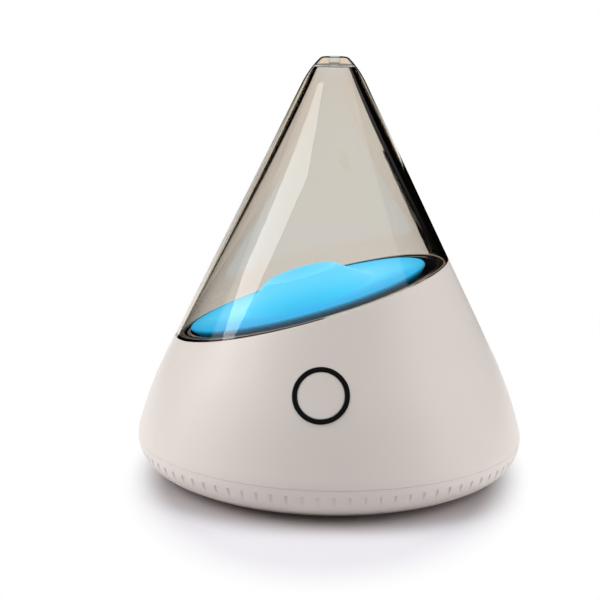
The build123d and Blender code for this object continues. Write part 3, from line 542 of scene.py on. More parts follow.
def housing_with_gap_shade():
    """Beige plastic. The lip's top edge is left light, and everything inside it is painted black as painted shade in
    the gap round the dish.
    """
    material = moulded("housing beige abs with painted gap shade", BEIGE, 0.30)
    n, link = material.node_tree.nodes, material.node_tree.links.new
    where = n.new("ShaderNodeTexCoord")
    parts = n.new("ShaderNodeSeparateXYZ")
    link(where.outputs["Object"], parts.inputs[0])
    level = n.new("ShaderNodeCombineXYZ")
    link(parts.outputs["X"], level.inputs["X"])
    link(parts.outputs["Y"], level.inputs["Y"])
    reach = n.new("ShaderNodeVectorMath")
    reach.operation = "LENGTH"
    link(level.outputs[0], reach.inputs[0])
    flank = n.new("ShaderNodeMath")
    flank.operation = "MULTIPLY_ADD"
    flank.inputs[1].default_value = math.tan(CONE_ANGLE)
    link(parts.outputs["Z"], flank.inputs[0])
    link(reach.outputs["Value"], flank.inputs[2])
    low_end = n.new("ShaderNodeMapRange")
    low_end.inputs["From Min"].default_value = -0.052
    low_end.inputs["From Max"].default_value = -0.036
    low_end.inputs["To Min"].default_value = -0.0012
    low_end.inputs["To Max"].default_value = 0.0
    link(parts.outputs["X"], low_end.inputs["Value"])
    widened = n.new("ShaderNodeMath")
    link(flank.outputs[0], widened.inputs[0])
    link(low_end.outputs["Result"], widened.inputs[1])
    inside = n.new("ShaderNodeMath")
    inside.operation = "LESS_THAN"
    inside.inputs[1].default_value = APEX * math.tan(CONE_ANGLE) - (LIP_FACE + 0.0004) / math.cos(CONE_ANGLE)
    link(widened.outputs[0], inside.inputs[0])
    high = n.new("ShaderNodeMath")
    high.operation = "GREATER_THAN"
    high.inputs[1].default_value = 0.040
    link(parts.outputs["Z"], high.inputs[0])
    # Painted shade: inside the lip, the gap round the dish is painted near-black.
    gap_shade = n.new("ShaderNodeMath")
    gap_shade.operation = "MULTIPLY"
    link(inside.outputs[0], gap_shade.inputs[0])
    link(high.outputs[0], gap_shade.inputs[1])
    colour = n.new("ShaderNodeMix")
    colour.data_type = "RGBA"
    colour.inputs["B"].default_value = (0.006, 0.006, 0.007, 1)
    link(gap_shade.outputs[0], colour.inputs["Factor"])
    shader = n["Principled BSDF"]
    link(shader.inputs["Base Color"].links[0].from_socket, colour.inputs["A"])
    link(colour.outputs["Result"], shader.inputs["Base Color"])
    return material


housing_plastic = housing_with_gap_shade()

wall_bm = turned(skin(0, HOUSING_BOTTOM, 0.098, 40) + skin(WALL, HOUSING_BOTTOM, 0.098, 4)[::-1], STEPS)
slice_slanted(wall_bm, 0, True)
close_rim(wall_bm)
soften(wall_bm, 0, 0.00035, 3)
lip_bm = slanted_ring(LIP_FACE, WALL, -0.003, LIP_RISE)
soften(lip_bm, LIP_RISE, 0.0003, 3)
joined(wall_bm, lip_bm)
ledge_bm = bmesh.new()
ledge_loops = [
    oval(ledge_bm, *cone_oval(WALL - 0.001, LEDGE_LOW), LEDGE_LOW, STEPS),
    oval(ledge_bm, *cone_oval(WALL - 0.001, LEDGE_TOP), LEDGE_TOP, STEPS),
    oval(ledge_bm, *LEDGE_HOLE, LEDGE_TOP, STEPS),
    oval(ledge_bm, *LEDGE_HOLE, LEDGE_LOW, STEPS),
]
bridged(ledge_bm, ledge_loops)
joined(wall_bm, ledge_bm)
housing_shell = finished(wall_bm, "housing_shell", "housing", housing_plastic, ["upper_housing"])

BUTTON_HEIGHT = 0.0461
BEZEL_RADIUS = 0.0103
BEZEL_TUBE = 0.0096
BEZEL_SEAT = 0.0016
JACK_HEIGHT = 0.026
JACK_SEAT = 0.0692

button_place = Matrix.Translation((0, -cone_point(0, BUTTON_HEIGHT)[0], BUTTON_HEIGHT)) @ Matrix.Rotation(
    math.pi / 2 - CONE_ANGLE, 4, "X"
)
openings = bmesh.new()
cylinder(openings, button_place @ Matrix.Translation((0, 0, 0.005 - BEZEL_SEAT)), BEZEL_RADIUS + 0.00005, 0.010, 96)
cut(housing_shell, openings, "button_seat")
openings = bmesh.new()
cylinder(openings, button_place, BEZEL_TUBE + 0.00005, 0.020, 96)
cut(housing_shell, openings, "button_hole")
jack_place = Matrix.Translation((0, JACK_SEAT, JACK_HEIGHT)) @ Matrix.Rotation(-math.pi / 2, 4, "X")
openings = bmesh.new()
cylinder(openings, jack_place @ Matrix.Translation((0, 0, 0.006)), 0.0072, 0.012, 96)
cut(housing_shell, openings, "socket_recess")

# ------------------------------------------------------------------ power socket
# A round low-voltage socket of black plastic in the back, held from inside by a nickelled brass nut.
dress(moulded("socket black plastic", (0.014, 0.014, 0.015), 0.18, scale=900.0, drift=0.15, coat=0.2), "dc_jack")
dress(moulded("nickelled brass", (0.60, 0.54, 0.38), 0.24, scale=700.0, drift=0.15, metallic=1.0), "jack_nut")

# ------------------------------------------------------------------ button
# A round beige cap in a high-gloss black ring. Both faces follow the cone, so they lie flush in the flank, and
# the cap slides in the ring's tube onto a small switch.
BUTTON_RADIUS = 0.0086
BUTTON_GAP = 0.00008

gloss_black = moulded("gloss black ring", (0.002, 0.002, 0.002), 0.06, scale=300.0, drift=0.2, bump=0.000002)
gloss_black.node_tree.nodes["Principled BSDF"].inputs["Specular IOR Level"].default_value = 0.06
button_plastic = moulded("button beige abs", BEIGE, 0.30)


def follow_cone(bm, proud):
    """Drops a flat face's points along the button's axis onto the cone, a little proud of it."""
    back = button_place.inverted()
    for v in bm.verts:
        local = back @ v.co
        if local.z > -0.0005:
            sag = cone_sag(local.x, local.y)
            v.co = button_place @ Vector((local.x, local.y, local.z - sag + proud))


def cone_sag(across, up):
    """How far the cone lies below the button's tangent plane at that place."""
    slope_radius = cone_point(0, BUTTON_HEIGHT)[0] / math.cos(CONE_ANGLE) - up * math.tan(CONE_ANGLE)
    return slope_radius - math.sqrt(slope_radius**2 - across**2)


def ring_on_button(outline, segments):
    """An outline of (radius, depth) points spun round the button's axis."""
    bm = turned(outline, segments)
    bmesh.ops.transform(bm, matrix=button_place, verts=bm.verts)
    return bm


bore = BUTTON_RADIUS + BUTTON_GAP
bezel_bm = ring_on_button(
    [(bore, -0.006), (bore, -0.0002)]
    + arc((bore + 0.0003, -0.0002), 0.0003, math.pi, math.pi / 2, 4)[1:]
    + [(bore + 0.0008, 0.00015)]
    + arc((BEZEL_RADIUS - 0.0004, -0.0003), 0.0004, math.pi / 2, 0, 5)
    + [(BEZEL_RADIUS, -BEZEL_SEAT), (BEZEL_TUBE, -BEZEL_SEAT), (BEZEL_TUBE, -0.006)],
    144,
)
follow_cone(bezel_bm, 0.0002)
finished(bezel_bm, "button_ring", "housing", gloss_black, ["button_bezel"])

cap_bm = ring_on_button(
    [(0.0, 0.0), (0.003, 0.0), (0.006, 0.0)]
    + arc((BUTTON_RADIUS - 0.0004, -0.0004), 0.0004, math.pi / 2, 0, 5)
    + [(BUTTON_RADIUS, -0.0074), (0.0070, -0.0074), (0.0070, -0.003), (0.002, -0.003), (0.002, -0.0065), (0.0, -0.0065)],
    144,
)
follow_cone(cap_bm, -0.0001)
finished(cap_bm, "button_pad", "button", button_plastic, ["button_cap"])

# The switch under the cap stands on a small board of its own, held by two screws.
dress(green_mask, "button_board")
dress(fan_black, "tact_switch")
dress(moulded("plunger grey plastic", (0.060, 0.060, 0.062), 0.45, scale=1500.0, drift=0.10), "switch_plunger")
dress(zinc_plate, "button_screws")

# ------------------------------------------------------------------ tank
# A basin of dark smoke plastic with a flange, seated on a silicone ring and held by four blackened screws. The
# transducer sits in its well between a rubber gasket and a plate with three screws.
tank_smoke = moulded("dark smoke tank plastic", (0.010, 0.011, 0.014), 0.16, scale=500.0, drift=0.20, bump=0.00001)
dress(tank_smoke, "water_tank")
dress(moulded("grey silicone", (0.17, 0.17, 0.17), 0.55, scale=1400.0, drift=0.10, bump=0.00004), "tank_seal")
dress(moulded("blackened steel", (0.045, 0.045, 0.048), 0.30, scale=900.0, drift=0.25, metallic=1.0), "tank_screws")
dress(moulded("silvered transducer", (0.72, 0.69, 0.64), 0.20, scale=600.0, drift=0.12, metallic=1.0), "piezo_disc")
dress(moulded("gasket rubber", (0.12, 0.12, 0.12), 0.60, scale=1400.0, drift=0.10, bump=0.00004), "piezo_gasket")
dress(duct_white, "piezo_clamp")
dress(zinc_plate, "clamp_screws")


# ------------------------------------------------------------------ lamps
# A white C-shaped board under the tank carries five flat lamps that light the inner cover blue; that light is painted
# on the cover as a glow.
def lamp_finish():
    """White lamp bodies whose middle glows blue."""
    material = bpy.data.materials.new("lamp body and lens")
    material.use_nodes = True
    n, link = material.node_tree.nodes, material.node_tree.links.new
    shader = n["Principled BSDF"]
    where = n.new("ShaderNodeTexCoord")
    cloud = n.new("ShaderNodeTexNoise")
    cloud.inputs["Scale"].default_value = 700.0
    link(where.outputs["Object"], cloud.inputs["Vector"])
    body = n.new("ShaderNodeValToRGB")
    body.color_ramp.elements[0].color = (0.70, 0.72, 0.70, 1)
    body.color_ramp.elements[1].color = (0.86, 0.87, 0.84, 1)
    link(cloud.outputs["Fac"], body.inputs["Fac"])
    link(body.outputs["Color"], shader.inputs["Base Color"])
    glow = n.new("ShaderNodeValToRGB")
    glow.color_ramp.elements[0].color = (0.05, 0.42, 0.95, 1)
    glow.color_ramp.elements[1].color = (0.10, 0.60, 1.0, 1)
    link(cloud.outputs["Fac"], glow.inputs["Fac"])
    link(glow.outputs["Color"], shader.inputs["Emission Color"])
    shader.inputs["Emission Strength"].default_value = 0.8
    shader.inputs["Roughness"].default_value = 0.25
    return material


dress(solder_mask("white solder mask", (0.66, 0.67, 0.66), (0.52, 0.53, 0.51), 0.0024), "led_board")
dress(lamp_finish(), "led_lamps")
dress(zinc_plate, "led_screws")

# ------------------------------------------------------------------ inner cover
# A translucent blue dish, moulded with the raised crater that the mist rises through. It stands on the tank's
# flange, and the light of the lamps under the tank is painted on it as a glow.
DISH_SHIFT = -0.00935
DISH_LENGTH = 0.0479
DISH_WIDTH = 0.0414
DISH_TOP = 0.0012
DISH_EDGE = 0.0006
DISH_WALL = 0.002
FOOT_SHIFT = -0.0095
FOOT_LENGTH = 0.0413
FOOT_WIDTH = 0.0383
CRATER_SHIFT = -0.0095
CRATER_FOOT = 0.0263
CRATER_RIM = 0.014
CRATER_TOP = 0.0095
THROAT = 0.0055
THROAT_TOP = 0.0026
THROAT_BOTTOM = -0.0058
FLANGE_TOP = -0.0059
DISH_STEPS = 192


def crater_outline():
    """Half section of the crater's upper side, from the foot over the rim into the bowl and down the throat."""
    slope = math.atan2(CRATER_TOP - DISH_TOP, CRATER_FOOT - CRATER_RIM)
    blend = 0.003
    foot_centre = (CRATER_FOOT + blend * math.tan(slope / 2), DISH_TOP + blend)
    foot = arc(foot_centre, blend, -math.pi / 2, -math.pi / 2 - slope, 6)
    rim_round = arc((CRATER_RIM - 0.0005, CRATER_TOP - 0.0004), 0.0006, math.pi / 2 - slope, math.pi, 8)
    bowl = arc((0.00613, 0.00945), 0.006875, math.radians(-8), math.radians(-85), 14)
    throat = [(THROAT, THROAT_TOP - 0.0008), (THROAT, THROAT_BOTTOM), (THROAT + 0.0016, THROAT_BOTTOM)]
    return foot + rim_round + bowl + throat


def skirt_reach(foot, mouth, height):
    """Half axis of the dish at a height: on its straight skirt, or on the rounding of the upper edge."""
    lean = math.atan((mouth - foot) / (DISH_TOP - FLANGE_TOP))
    rise = height - (DISH_TOP - DISH_EDGE)
    if rise < -DISH_EDGE * math.sin(lean):
        return mouth - (DISH_TOP - height) * math.tan(lean)
    corner = mouth - DISH_EDGE / math.tan((math.pi / 2 - lean) / 2)
    return corner + math.sqrt(max(0.0, DISH_EDGE**2 - rise**2))


dish_bm = bmesh.new()
foot_radius = crater_outline()[0][0]
edge_heights = [DISH_TOP - DISH_EDGE + DISH_EDGE * math.cos(math.radians(15 * i)) for i in range(10)] + [FLANGE_TOP]
edge_loops = []
for height in edge_heights:
    part = (height - FLANGE_TOP) / (DISH_TOP - FLANGE_TOP)
    shift = FOOT_SHIFT + part * (DISH_SHIFT - FOOT_SHIFT)
    length = skirt_reach(FOOT_LENGTH, DISH_LENGTH, height)
    width = skirt_reach(FOOT_WIDTH, DISH_WIDTH, height)
    edge_loops.append(oval(dish_bm, shift, length, width, height, DISH_STEPS))
for shift, length, width, height in (
    (FOOT_SHIFT, FOOT_LENGTH, FOOT_WIDTH, FLANGE_TOP),
    (DISH_SHIFT, DISH_LENGTH, DISH_WIDTH, DISH_TOP - DISH_WALL),
):
    edge_loops.append(oval(dish_bm, shift, length - DISH_WALL, width - DISH_WALL, height, DISH_STEPS))
underside = [(THROAT + 0.0016, THROAT_TOP - 0.0018), (CRATER_RIM - 0.0006, CRATER_TOP - 0.0027)]
underside.append((foot_radius, DISH_TOP - DISH_WALL))
ring_loops = [oval(dish_bm, CRATER_SHIFT, r, r, height, DISH_STEPS) for r, height in crater_outline() + underside]
bridged(dish_bm, edge_loops[::-1] + ring_loops)


def blue_with_painted_glow():
    """Translucent blue plastic whose light from the lamps below is painted on as a glow: brightest round the crater and
    darker towards the front, a painted highlight on the crater's rim and paler painted light in its bowl, and painted
    shade that goes dark down the skirt.
    """
    material = bpy.data.materials.new("blue plastic with painted glow")
    material.use_nodes = True
    n, link = material.node_tree.nodes, material.node_tree.links.new
    shader = n["Principled BSDF"]
    shader.inputs["Base Color"].default_value = (0.008, 0.06, 0.10, 1.0)
    shader.inputs["Roughness"].default_value = 0.32
    shader.inputs["Specular IOR Level"].default_value = 0.02
    where = n.new("ShaderNodeTexCoord")
    flat = n.new("ShaderNodeMapping")
    flat.vector_type = "TEXTURE"
    flat.inputs["Location"].default_value = rim_place @ Vector((CRATER_SHIFT, 0, 0))
    flat.inputs["Rotation"].default_value = (0, -RIM_TILT, 0)
    link(where.outputs["Object"], flat.inputs["Vector"])
    parts = n.new("ShaderNodeSeparateXYZ")
    link(flat.outputs["Vector"], parts.inputs[0])
    across = n.new("ShaderNodeMath")
    across.operation = "MULTIPLY"
    across.inputs[1].default_value = DISH_LENGTH / DISH_WIDTH
    link(parts.outputs["Y"], across.inputs[0])
    plan = n.new("ShaderNodeCombineXYZ")
    link(parts.outputs["X"], plan.inputs["X"])
    link(across.outputs[0], plan.inputs["Y"])
    reach = n.new("ShaderNodeVectorMath")
    reach.operation = "LENGTH"
    link(plan.outputs[0], reach.inputs[0])
    front = n.new("ShaderNodeMath")
    front.operation = "MULTIPLY"
    front.inputs[1].default_value = -0.6
    link(parts.outputs["Y"], front.inputs[0])
    ahead = n.new("ShaderNodeMath")
    ahead.operation = "MAXIMUM"
    ahead.inputs[1].default_value = 0.0
    link(front.outputs[0], ahead.inputs[0])
    away = n.new("ShaderNodeMath")
    link(reach.outputs["Value"], away.inputs[0])
    link(ahead.outputs[0], away.inputs[1])
    # Painted glow: brightest round the crater, falling off outwards and darker towards the front.
    glow = n.new("ShaderNodeValToRGB")
    glow.color_ramp.elements[0].position = 0.028
    glow.color_ramp.elements[0].color = (0.096, 0.622, 0.963, 1)
    glow.color_ramp.elements[1].position = 0.062
    glow.color_ramp.elements[1].color = (0.001, 0.37, 0.778, 1)
    for position, colour in ((0.038, (0.037, 0.563, 0.948)), (0.048, (0.011, 0.444, 0.83))):
        glow.color_ramp.elements.new(position).color = (*colour, 1)
    link(away.outputs[0], glow.inputs["Fac"])
    depth = n.new("ShaderNodeMapRange")
    depth.inputs["From Min"].default_value = FLANGE_TOP
    depth.inputs["From Max"].default_value = DISH_TOP
    link(parts.outputs["Z"], depth.inputs["Value"])
    # Painted shade: the glow goes dark down the skirt.
    skirt = n.new("ShaderNodeValToRGB")
    skirt.color_ramp.elements[0].color = (0.002, 0.002, 0.002, 1)
    skirt.color_ramp.elements[1].color = (1, 1, 1, 1)
    for position, level in ((0.62, 0.03), (0.80, 0.14), (0.93, 0.50)):
        skirt.color_ramp.elements.new(position).color = (level, level, level, 1)
    link(depth.outputs["Result"], skirt.inputs["Fac"])
    # Painted highlight on the crater's rim, and paler painted light in its bowl.
    bowl_rim_light = n.new("ShaderNodeValToRGB")
    bowl_rim_light.color_ramp.elements[0].position = 0.0120
    bowl_rim_light.color_ramp.elements[0].color = (0.45, 0.45, 0.45, 1)
    bowl_rim_light.color_ramp.elements[1].position = 0.0146
    bowl_rim_light.color_ramp.elements[1].color = (0, 0, 0, 1)
    for position in (0.0135, 0.0141):
        bowl_rim_light.color_ramp.elements.new(position).color = (1, 1, 1, 1)
    link(reach.outputs["Value"], bowl_rim_light.inputs["Fac"])
    whiter = n.new("ShaderNodeMix")
    whiter.data_type = "RGBA"
    whiter.inputs["B"].default_value = (0.38, 0.80, 1.0, 1)
    link(bowl_rim_light.outputs["Color"], whiter.inputs["Factor"])
    link(glow.outputs["Color"], whiter.inputs["A"])
    mottle = n.new("ShaderNodeTexNoise")
    mottle.inputs["Scale"].default_value = 45.0
    mottle.inputs["Detail"].default_value = 3.0
    link(where.outputs["Object"], mottle.inputs["Vector"])
    gain = n.new("ShaderNodeMapRange")
    gain.inputs["To Min"].default_value = 0.93
    gain.inputs["To Max"].default_value = 1.07
    link(mottle.outputs["Fac"], gain.inputs["Value"])
    level = n.new("ShaderNodeMath")
    level.operation = "MULTIPLY"
    link(gain.outputs["Result"], level.inputs[0])
    link(skirt.outputs["Color"], level.inputs[1])
    tint = n.new("ShaderNodeVectorMath")
    tint.operation = "SCALE"
    link(whiter.outputs["Result"], tint.inputs[0])
    link(level.outputs[0], tint.inputs["Scale"])
    link(tint.outputs["Vector"], shader.inputs["Emission Color"])
    shader.inputs["Emission Strength"].default_value = 1.35
    return material


finished(dish_bm, "blue_dish", "inner_cover_body", blue_with_painted_glow(), ["inner_cover"], sharp=50)

# ------------------------------------------------------------------ cover
# A thin clear cone of lightly smoke-tinted polycarbonate, polished inside and out, with a rounded tip and a
# small vent hole. It stands loose on the housing's slanted rim, round the lip.
RIM_WALL = 0.00125
TIP_SIDE_WALL = 0.0019
TIP_HEIGHT = 0.1609
TIP_WALL = 0.0032
SHOULDER = 0.034
SHOULDER_END = math.radians(45)
TIP_EDGE = 0.002
CEILING = 0.0022
VENT = 0.0021


def tip_outline():
    """Half section of the cover's outside: straight flank, gentle shoulder arc and the flat tip's rounded edge."""
    edge_height = TIP_HEIGHT - TIP_EDGE
    shoulder_height = edge_height - (SHOULDER - TIP_EDGE) * math.sin(SHOULDER_END)
    flank_end = cone_point(0, shoulder_height + SHOULDER * math.sin(CONE_ANGLE))
    middle = (flank_end[0] - SHOULDER * math.cos(CONE_ANGLE), shoulder_height)
    shoulder = arc(middle, SHOULDER, CONE_ANGLE, SHOULDER_END, 10)
    corner = (shoulder[-1][0] - TIP_EDGE * math.cos(SHOULDER_END), edge_height)
    return [cone_point(0, 0.045)] + shoulder + arc(corner, TIP_EDGE, SHOULDER_END, math.pi / 2, 8)[1:]


ceiling = TIP_HEIGHT - TIP_WALL
low_inside = cone_point(RIM_WALL, 0.045)
high_inside = cone_point(TIP_SIDE_WALL, ceiling)
inside_slope = math.atan2(low_inside[0] - high_inside[0], high_inside[1] - low_inside[1])
ceiling_edge = high_inside[0] - CEILING * math.tan((math.pi / 2 - inside_slope) / 2)
inside = [low_inside] + arc((ceiling_edge, ceiling - CEILING), CEILING, inside_slope, math.pi / 2, 8)
outside = tip_outline()
vent_lip = [(VENT + 0.0003, TIP_HEIGHT), (VENT, TIP_HEIGHT - 0.0003), (VENT, TIP_HEIGHT - TIP_WALL)]
cover_bm = turned(outside + vent_lip + inside[::-1], 256)
slice_slanted(cover_bm, 0.00008, False)
close_rim(cover_bm)


def smoke_clear():
    """Clear tinted plastic. Its inner face, and its outer face near the shoulder, are painted black at a grazing look
    as painted dark edges, with a faint painted violet sheen on the right; the tip has a painted pale glow with a
    painted dark contour and a painted dark vent, and lamps shine through with its tint.
    """
    material = bpy.data.materials.new("smoke clear plastic")
    material.use_nodes = True
    n, link = material.node_tree.nodes, material.node_tree.links.new
    shader = n["Principled BSDF"]
    shader.inputs["Transmission Weight"].default_value = 1.0
    shader.inputs["IOR"].default_value = 1.5
    shader.inputs["Specular Tint"].default_value = (0.55, 0.55, 0.55, 1.0)
    where = n.new("ShaderNodeTexCoord")
    wipe = n.new("ShaderNodeTexNoise")
    wipe.inputs["Scale"].default_value = 60.0
    wipe.inputs["Detail"].default_value = 4.0
    link(where.outputs["Object"], wipe.inputs["Vector"])
    polish = n.new("ShaderNodeMapRange")
    polish.inputs["To Min"].default_value = 0.0
    polish.inputs["To Max"].default_value = 0.03
    link(wipe.outputs["Fac"], polish.inputs["Value"])
    link(polish.outputs["Result"], shader.inputs["Roughness"])
    parts = n.new("ShaderNodeSeparateXYZ")
    link(where.outputs["Object"], parts.inputs[0])
    level = n.new("ShaderNodeCombineXYZ")
    link(parts.outputs["X"], level.inputs["X"])
    link(parts.outputs["Y"], level.inputs["Y"])
    reach = n.new("ShaderNodeVectorMath")
    reach.operation = "LENGTH"
    link(level.outputs[0], reach.inputs[0])
    flank = n.new("ShaderNodeMath")
    flank.operation = "MULTIPLY_ADD"
    flank.inputs[1].default_value = math.tan(inside_slope)
    link(parts.outputs["Z"], flank.inputs[0])
    link(reach.outputs["Value"], flank.inputs[2])
    inner = n.new("ShaderNodeMath")
    inner.operation = "LESS_THAN"
    inner.inputs[1].default_value = low_inside[0] + low_inside[1] * math.tan(inside_slope) + 0.0003
    link(flank.outputs[0], inner.inputs[0])
    under_tip = n.new("ShaderNodeMath")
    under_tip.operation = "LESS_THAN"
    under_tip.inputs[1].default_value = ceiling + 0.0002
    link(parts.outputs["Z"], under_tip.inputs[0])
    side = n.new("ShaderNodeMapRange")
    side.inputs["From Min"].default_value = -0.004
    side.inputs["From Max"].default_value = 0.004
    link(parts.outputs["X"], side.inputs["Value"])
    onsets = []
    for low_onset, high_onset in ((0.78, 0.57), (0.655, 0.43)):
        onset = n.new("ShaderNodeMapRange")
        onset.clamp = False
        onset.inputs["From Min"].default_value = 0.089
        onset.inputs["From Max"].default_value = 0.150
        onset.inputs["To Min"].default_value = low_onset
        onset.inputs["To Max"].default_value = high_onset
        link(parts.outputs["Z"], onset.inputs["Value"])
        onsets.append(onset)
    chosen = n.new("ShaderNodeMix")
    link(side.outputs["Result"], chosen.inputs["Factor"])
    link(onsets[0].outputs["Result"], chosen.inputs["A"])
    link(onsets[1].outputs["Result"], chosen.inputs["B"])
    # Painted dark edges: faces seen at a grazing look are painted black, the inner face from an onset that changes with
    # height and the outer face near the shoulder.
    look = n.new("ShaderNodeLayerWeight")
    look.inputs["Blend"].default_value = 0.5
    past = n.new("ShaderNodeMath")
    past.operation = "SUBTRACT"
    link(look.outputs["Facing"], past.inputs[0])
    link(chosen.outputs["Result"], past.inputs[1])
    graze = n.new("ShaderNodeMapRange")
    graze.interpolation_type = "SMOOTHSTEP"
    graze.inputs["From Max"].default_value = 0.045
    link(past.outputs[0], graze.inputs["Value"])
    masked = n.new("ShaderNodeMath")
    masked.operation = "MULTIPLY"
    link(inner.outputs[0], masked.inputs[0])
    link(under_tip.outputs[0], masked.inputs[1])
    drawn = n.new("ShaderNodeMath")
    drawn.operation = "MULTIPLY"
    link(masked.outputs[0], drawn.inputs[0])
    link(graze.outputs["Result"], drawn.inputs[1])
    outer = n.new("ShaderNodeMath")
    outer.operation = "SUBTRACT"
    outer.inputs[0].default_value = 1.0
    link(inner.outputs[0], outer.inputs[1])
    shoulder = n.new("ShaderNodeMapRange")
    shoulder.inputs["From Min"].default_value = 0.126
    shoulder.inputs["From Max"].default_value = 0.150
    link(parts.outputs["Z"], shoulder.inputs["Value"])
    outline = n.new("ShaderNodeMapRange")
    outline.interpolation_type = "SMOOTHSTEP"
    outline.inputs["From Min"].default_value = 0.63
    outline.inputs["From Max"].default_value = 0.80
    link(look.outputs["Facing"], outline.inputs["Value"])
    faded = n.new("ShaderNodeMath")
    faded.operation = "MULTIPLY"
    link(shoulder.outputs["Result"], faded.inputs[0])
    link(outline.outputs["Result"], faded.inputs[1])
    outer_drawn = n.new("ShaderNodeMath")
    outer_drawn.operation = "MULTIPLY"
    link(faded.outputs[0], outer_drawn.inputs[0])
    link(outer.outputs[0], outer_drawn.inputs[1])
    dark = n.new("ShaderNodeMath")
    dark.operation = "MAXIMUM"
    link(drawn.outputs[0], dark.inputs[0])
    link(outer_drawn.outputs[0], dark.inputs[1])
    # Painted violet sheen, faint and only on the right, on the painted dark edges.
    violet = n.new("ShaderNodeValToRGB")
    violet.color_ramp.elements[0].position = 0.045
    violet.color_ramp.elements[0].color = (0, 0, 0, 1)
    violet.color_ramp.elements[1].position = 0.150
    violet.color_ramp.elements[1].color = (0, 0, 0, 1)
    for position in (0.075, 0.115):
        violet.color_ramp.elements.new(position).color = (1.0, 0.88, 1.0, 1)
    link(past.outputs[0], violet.inputs["Fac"])
    faint = n.new("ShaderNodeMapRange")
    faint.inputs["From Min"].default_value = 0.090
    faint.inputs["From Max"].default_value = 0.150
    faint.inputs["To Min"].default_value = 0.005
    faint.inputs["To Max"].default_value = 0.09
    link(parts.outputs["Z"], faint.inputs["Value"])
    right_only = n.new("ShaderNodeMath")
    right_only.operation = "MULTIPLY"
    link(faint.outputs["Result"], right_only.inputs[0])
    link(side.outputs["Result"], right_only.inputs[1])
    edge = n.new("ShaderNodeEmission")
    link(violet.outputs["Color"], edge.inputs["Color"])
    link(right_only.outputs[0], edge.inputs["Strength"])
    lined = n.new("ShaderNodeMixShader")
    link(dark.outputs[0], lined.inputs["Fac"])
    link(shader.outputs[0], lined.inputs[1])
    link(edge.outputs[0], lined.inputs[2])
    in_tip = n.new("ShaderNodeMath")
    in_tip.operation = "GREATER_THAN"
    in_tip.inputs[1].default_value = ceiling + 0.0002
    link(parts.outputs["Z"], in_tip.inputs[0])
    contour = n.new("ShaderNodeMapRange")
    contour.interpolation_type = "SMOOTHSTEP"
    contour.inputs["From Min"].default_value = 0.52
    contour.inputs["From Max"].default_value = 0.74
    link(look.outputs["Facing"], contour.inputs["Value"])
    in_vent = n.new("ShaderNodeMath")
    in_vent.operation = "LESS_THAN"
    in_vent.inputs[1].default_value = VENT + 0.0003
    link(reach.outputs["Value"], in_vent.inputs[0])
    vent_foot = n.new("ShaderNodeMath")
    vent_foot.operation = "LESS_THAN"
    vent_foot.inputs[1].default_value = ceiling + 0.0011
    link(parts.outputs["Z"], vent_foot.inputs[0])
    vent_dark = n.new("ShaderNodeMath")
    vent_dark.operation = "MULTIPLY"
    link(in_vent.outputs[0], vent_dark.inputs[0])
    link(vent_foot.outputs[0], vent_dark.inputs[1])
    tip_dark = n.new("ShaderNodeMath")
    tip_dark.operation = "MAXIMUM"
    link(contour.outputs["Result"], tip_dark.inputs[0])
    link(vent_dark.outputs[0], tip_dark.inputs[1])
    # Tip: a painted pale glow, with a painted dark contour at a grazing look and painted shade inside the vent.
    clear_tip = n.new("ShaderNodeBsdfTransparent")
    clear_tip.inputs["Color"].default_value = (0.90, 0.95, 1.0, 1.0)
    painted_tip_glow = n.new("ShaderNodeEmission")
    painted_tip_glow.inputs["Color"].default_value = (0.76, 0.71, 0.65, 1.0)
    pale = n.new("ShaderNodeMixShader")
    pale.inputs["Fac"].default_value = 0.34
    link(clear_tip.outputs[0], pale.inputs[1])
    link(painted_tip_glow.outputs[0], pale.inputs[2])
    black = n.new("ShaderNodeEmission")
    black.inputs["Strength"].default_value = 0.0
    tip = n.new("ShaderNodeMixShader")
    link(tip_dark.outputs[0], tip.inputs["Fac"])
    link(pale.outputs[0], tip.inputs[1])
    link(black.outputs[0], tip.inputs[2])
    whole = n.new("ShaderNodeMixShader")
    link(in_tip.outputs[0], whole.inputs["Fac"])
    link(lined.outputs[0], whole.inputs[1])
    link(tip.outputs[0], whole.inputs[2])
    tint = n.new("ShaderNodeVolumeAbsorption")
    tint.inputs["Color"].default_value = (0.93, 0.60, 0.12, 1.0)
    tint.inputs["Density"].default_value = 86.0
    through = n.new("ShaderNodeBsdfTransparent")
    through.inputs["Color"].default_value = (0.86, 0.82, 0.78, 1.0)
    path = n.new("ShaderNodeLightPath")
    mix = n.new("ShaderNodeMixShader")
    link(path.outputs["Is Shadow Ray"], mix.inputs["Fac"])
    link(whole.outputs[0], mix.inputs[1])
    link(through.outputs[0], mix.inputs[2])
    out = n["Material Output"]
    link(mix.outputs[0], out.inputs["Surface"])
    link(tint.outputs[0], out.inputs["Volume"])
    return material


finished(cover_bm, "clear_cone", "cover", smoke_clear(), ["cone_cover"])

# ------------------------------------------------------------------ studio
# A pale floor that keeps the contact shadow and has a painted contact shadow near the object, a white surround,
# soft boxes, and dark cards round the back that, with painted dark edges in the cone's material, draw the dark edges of
# the clear cone.


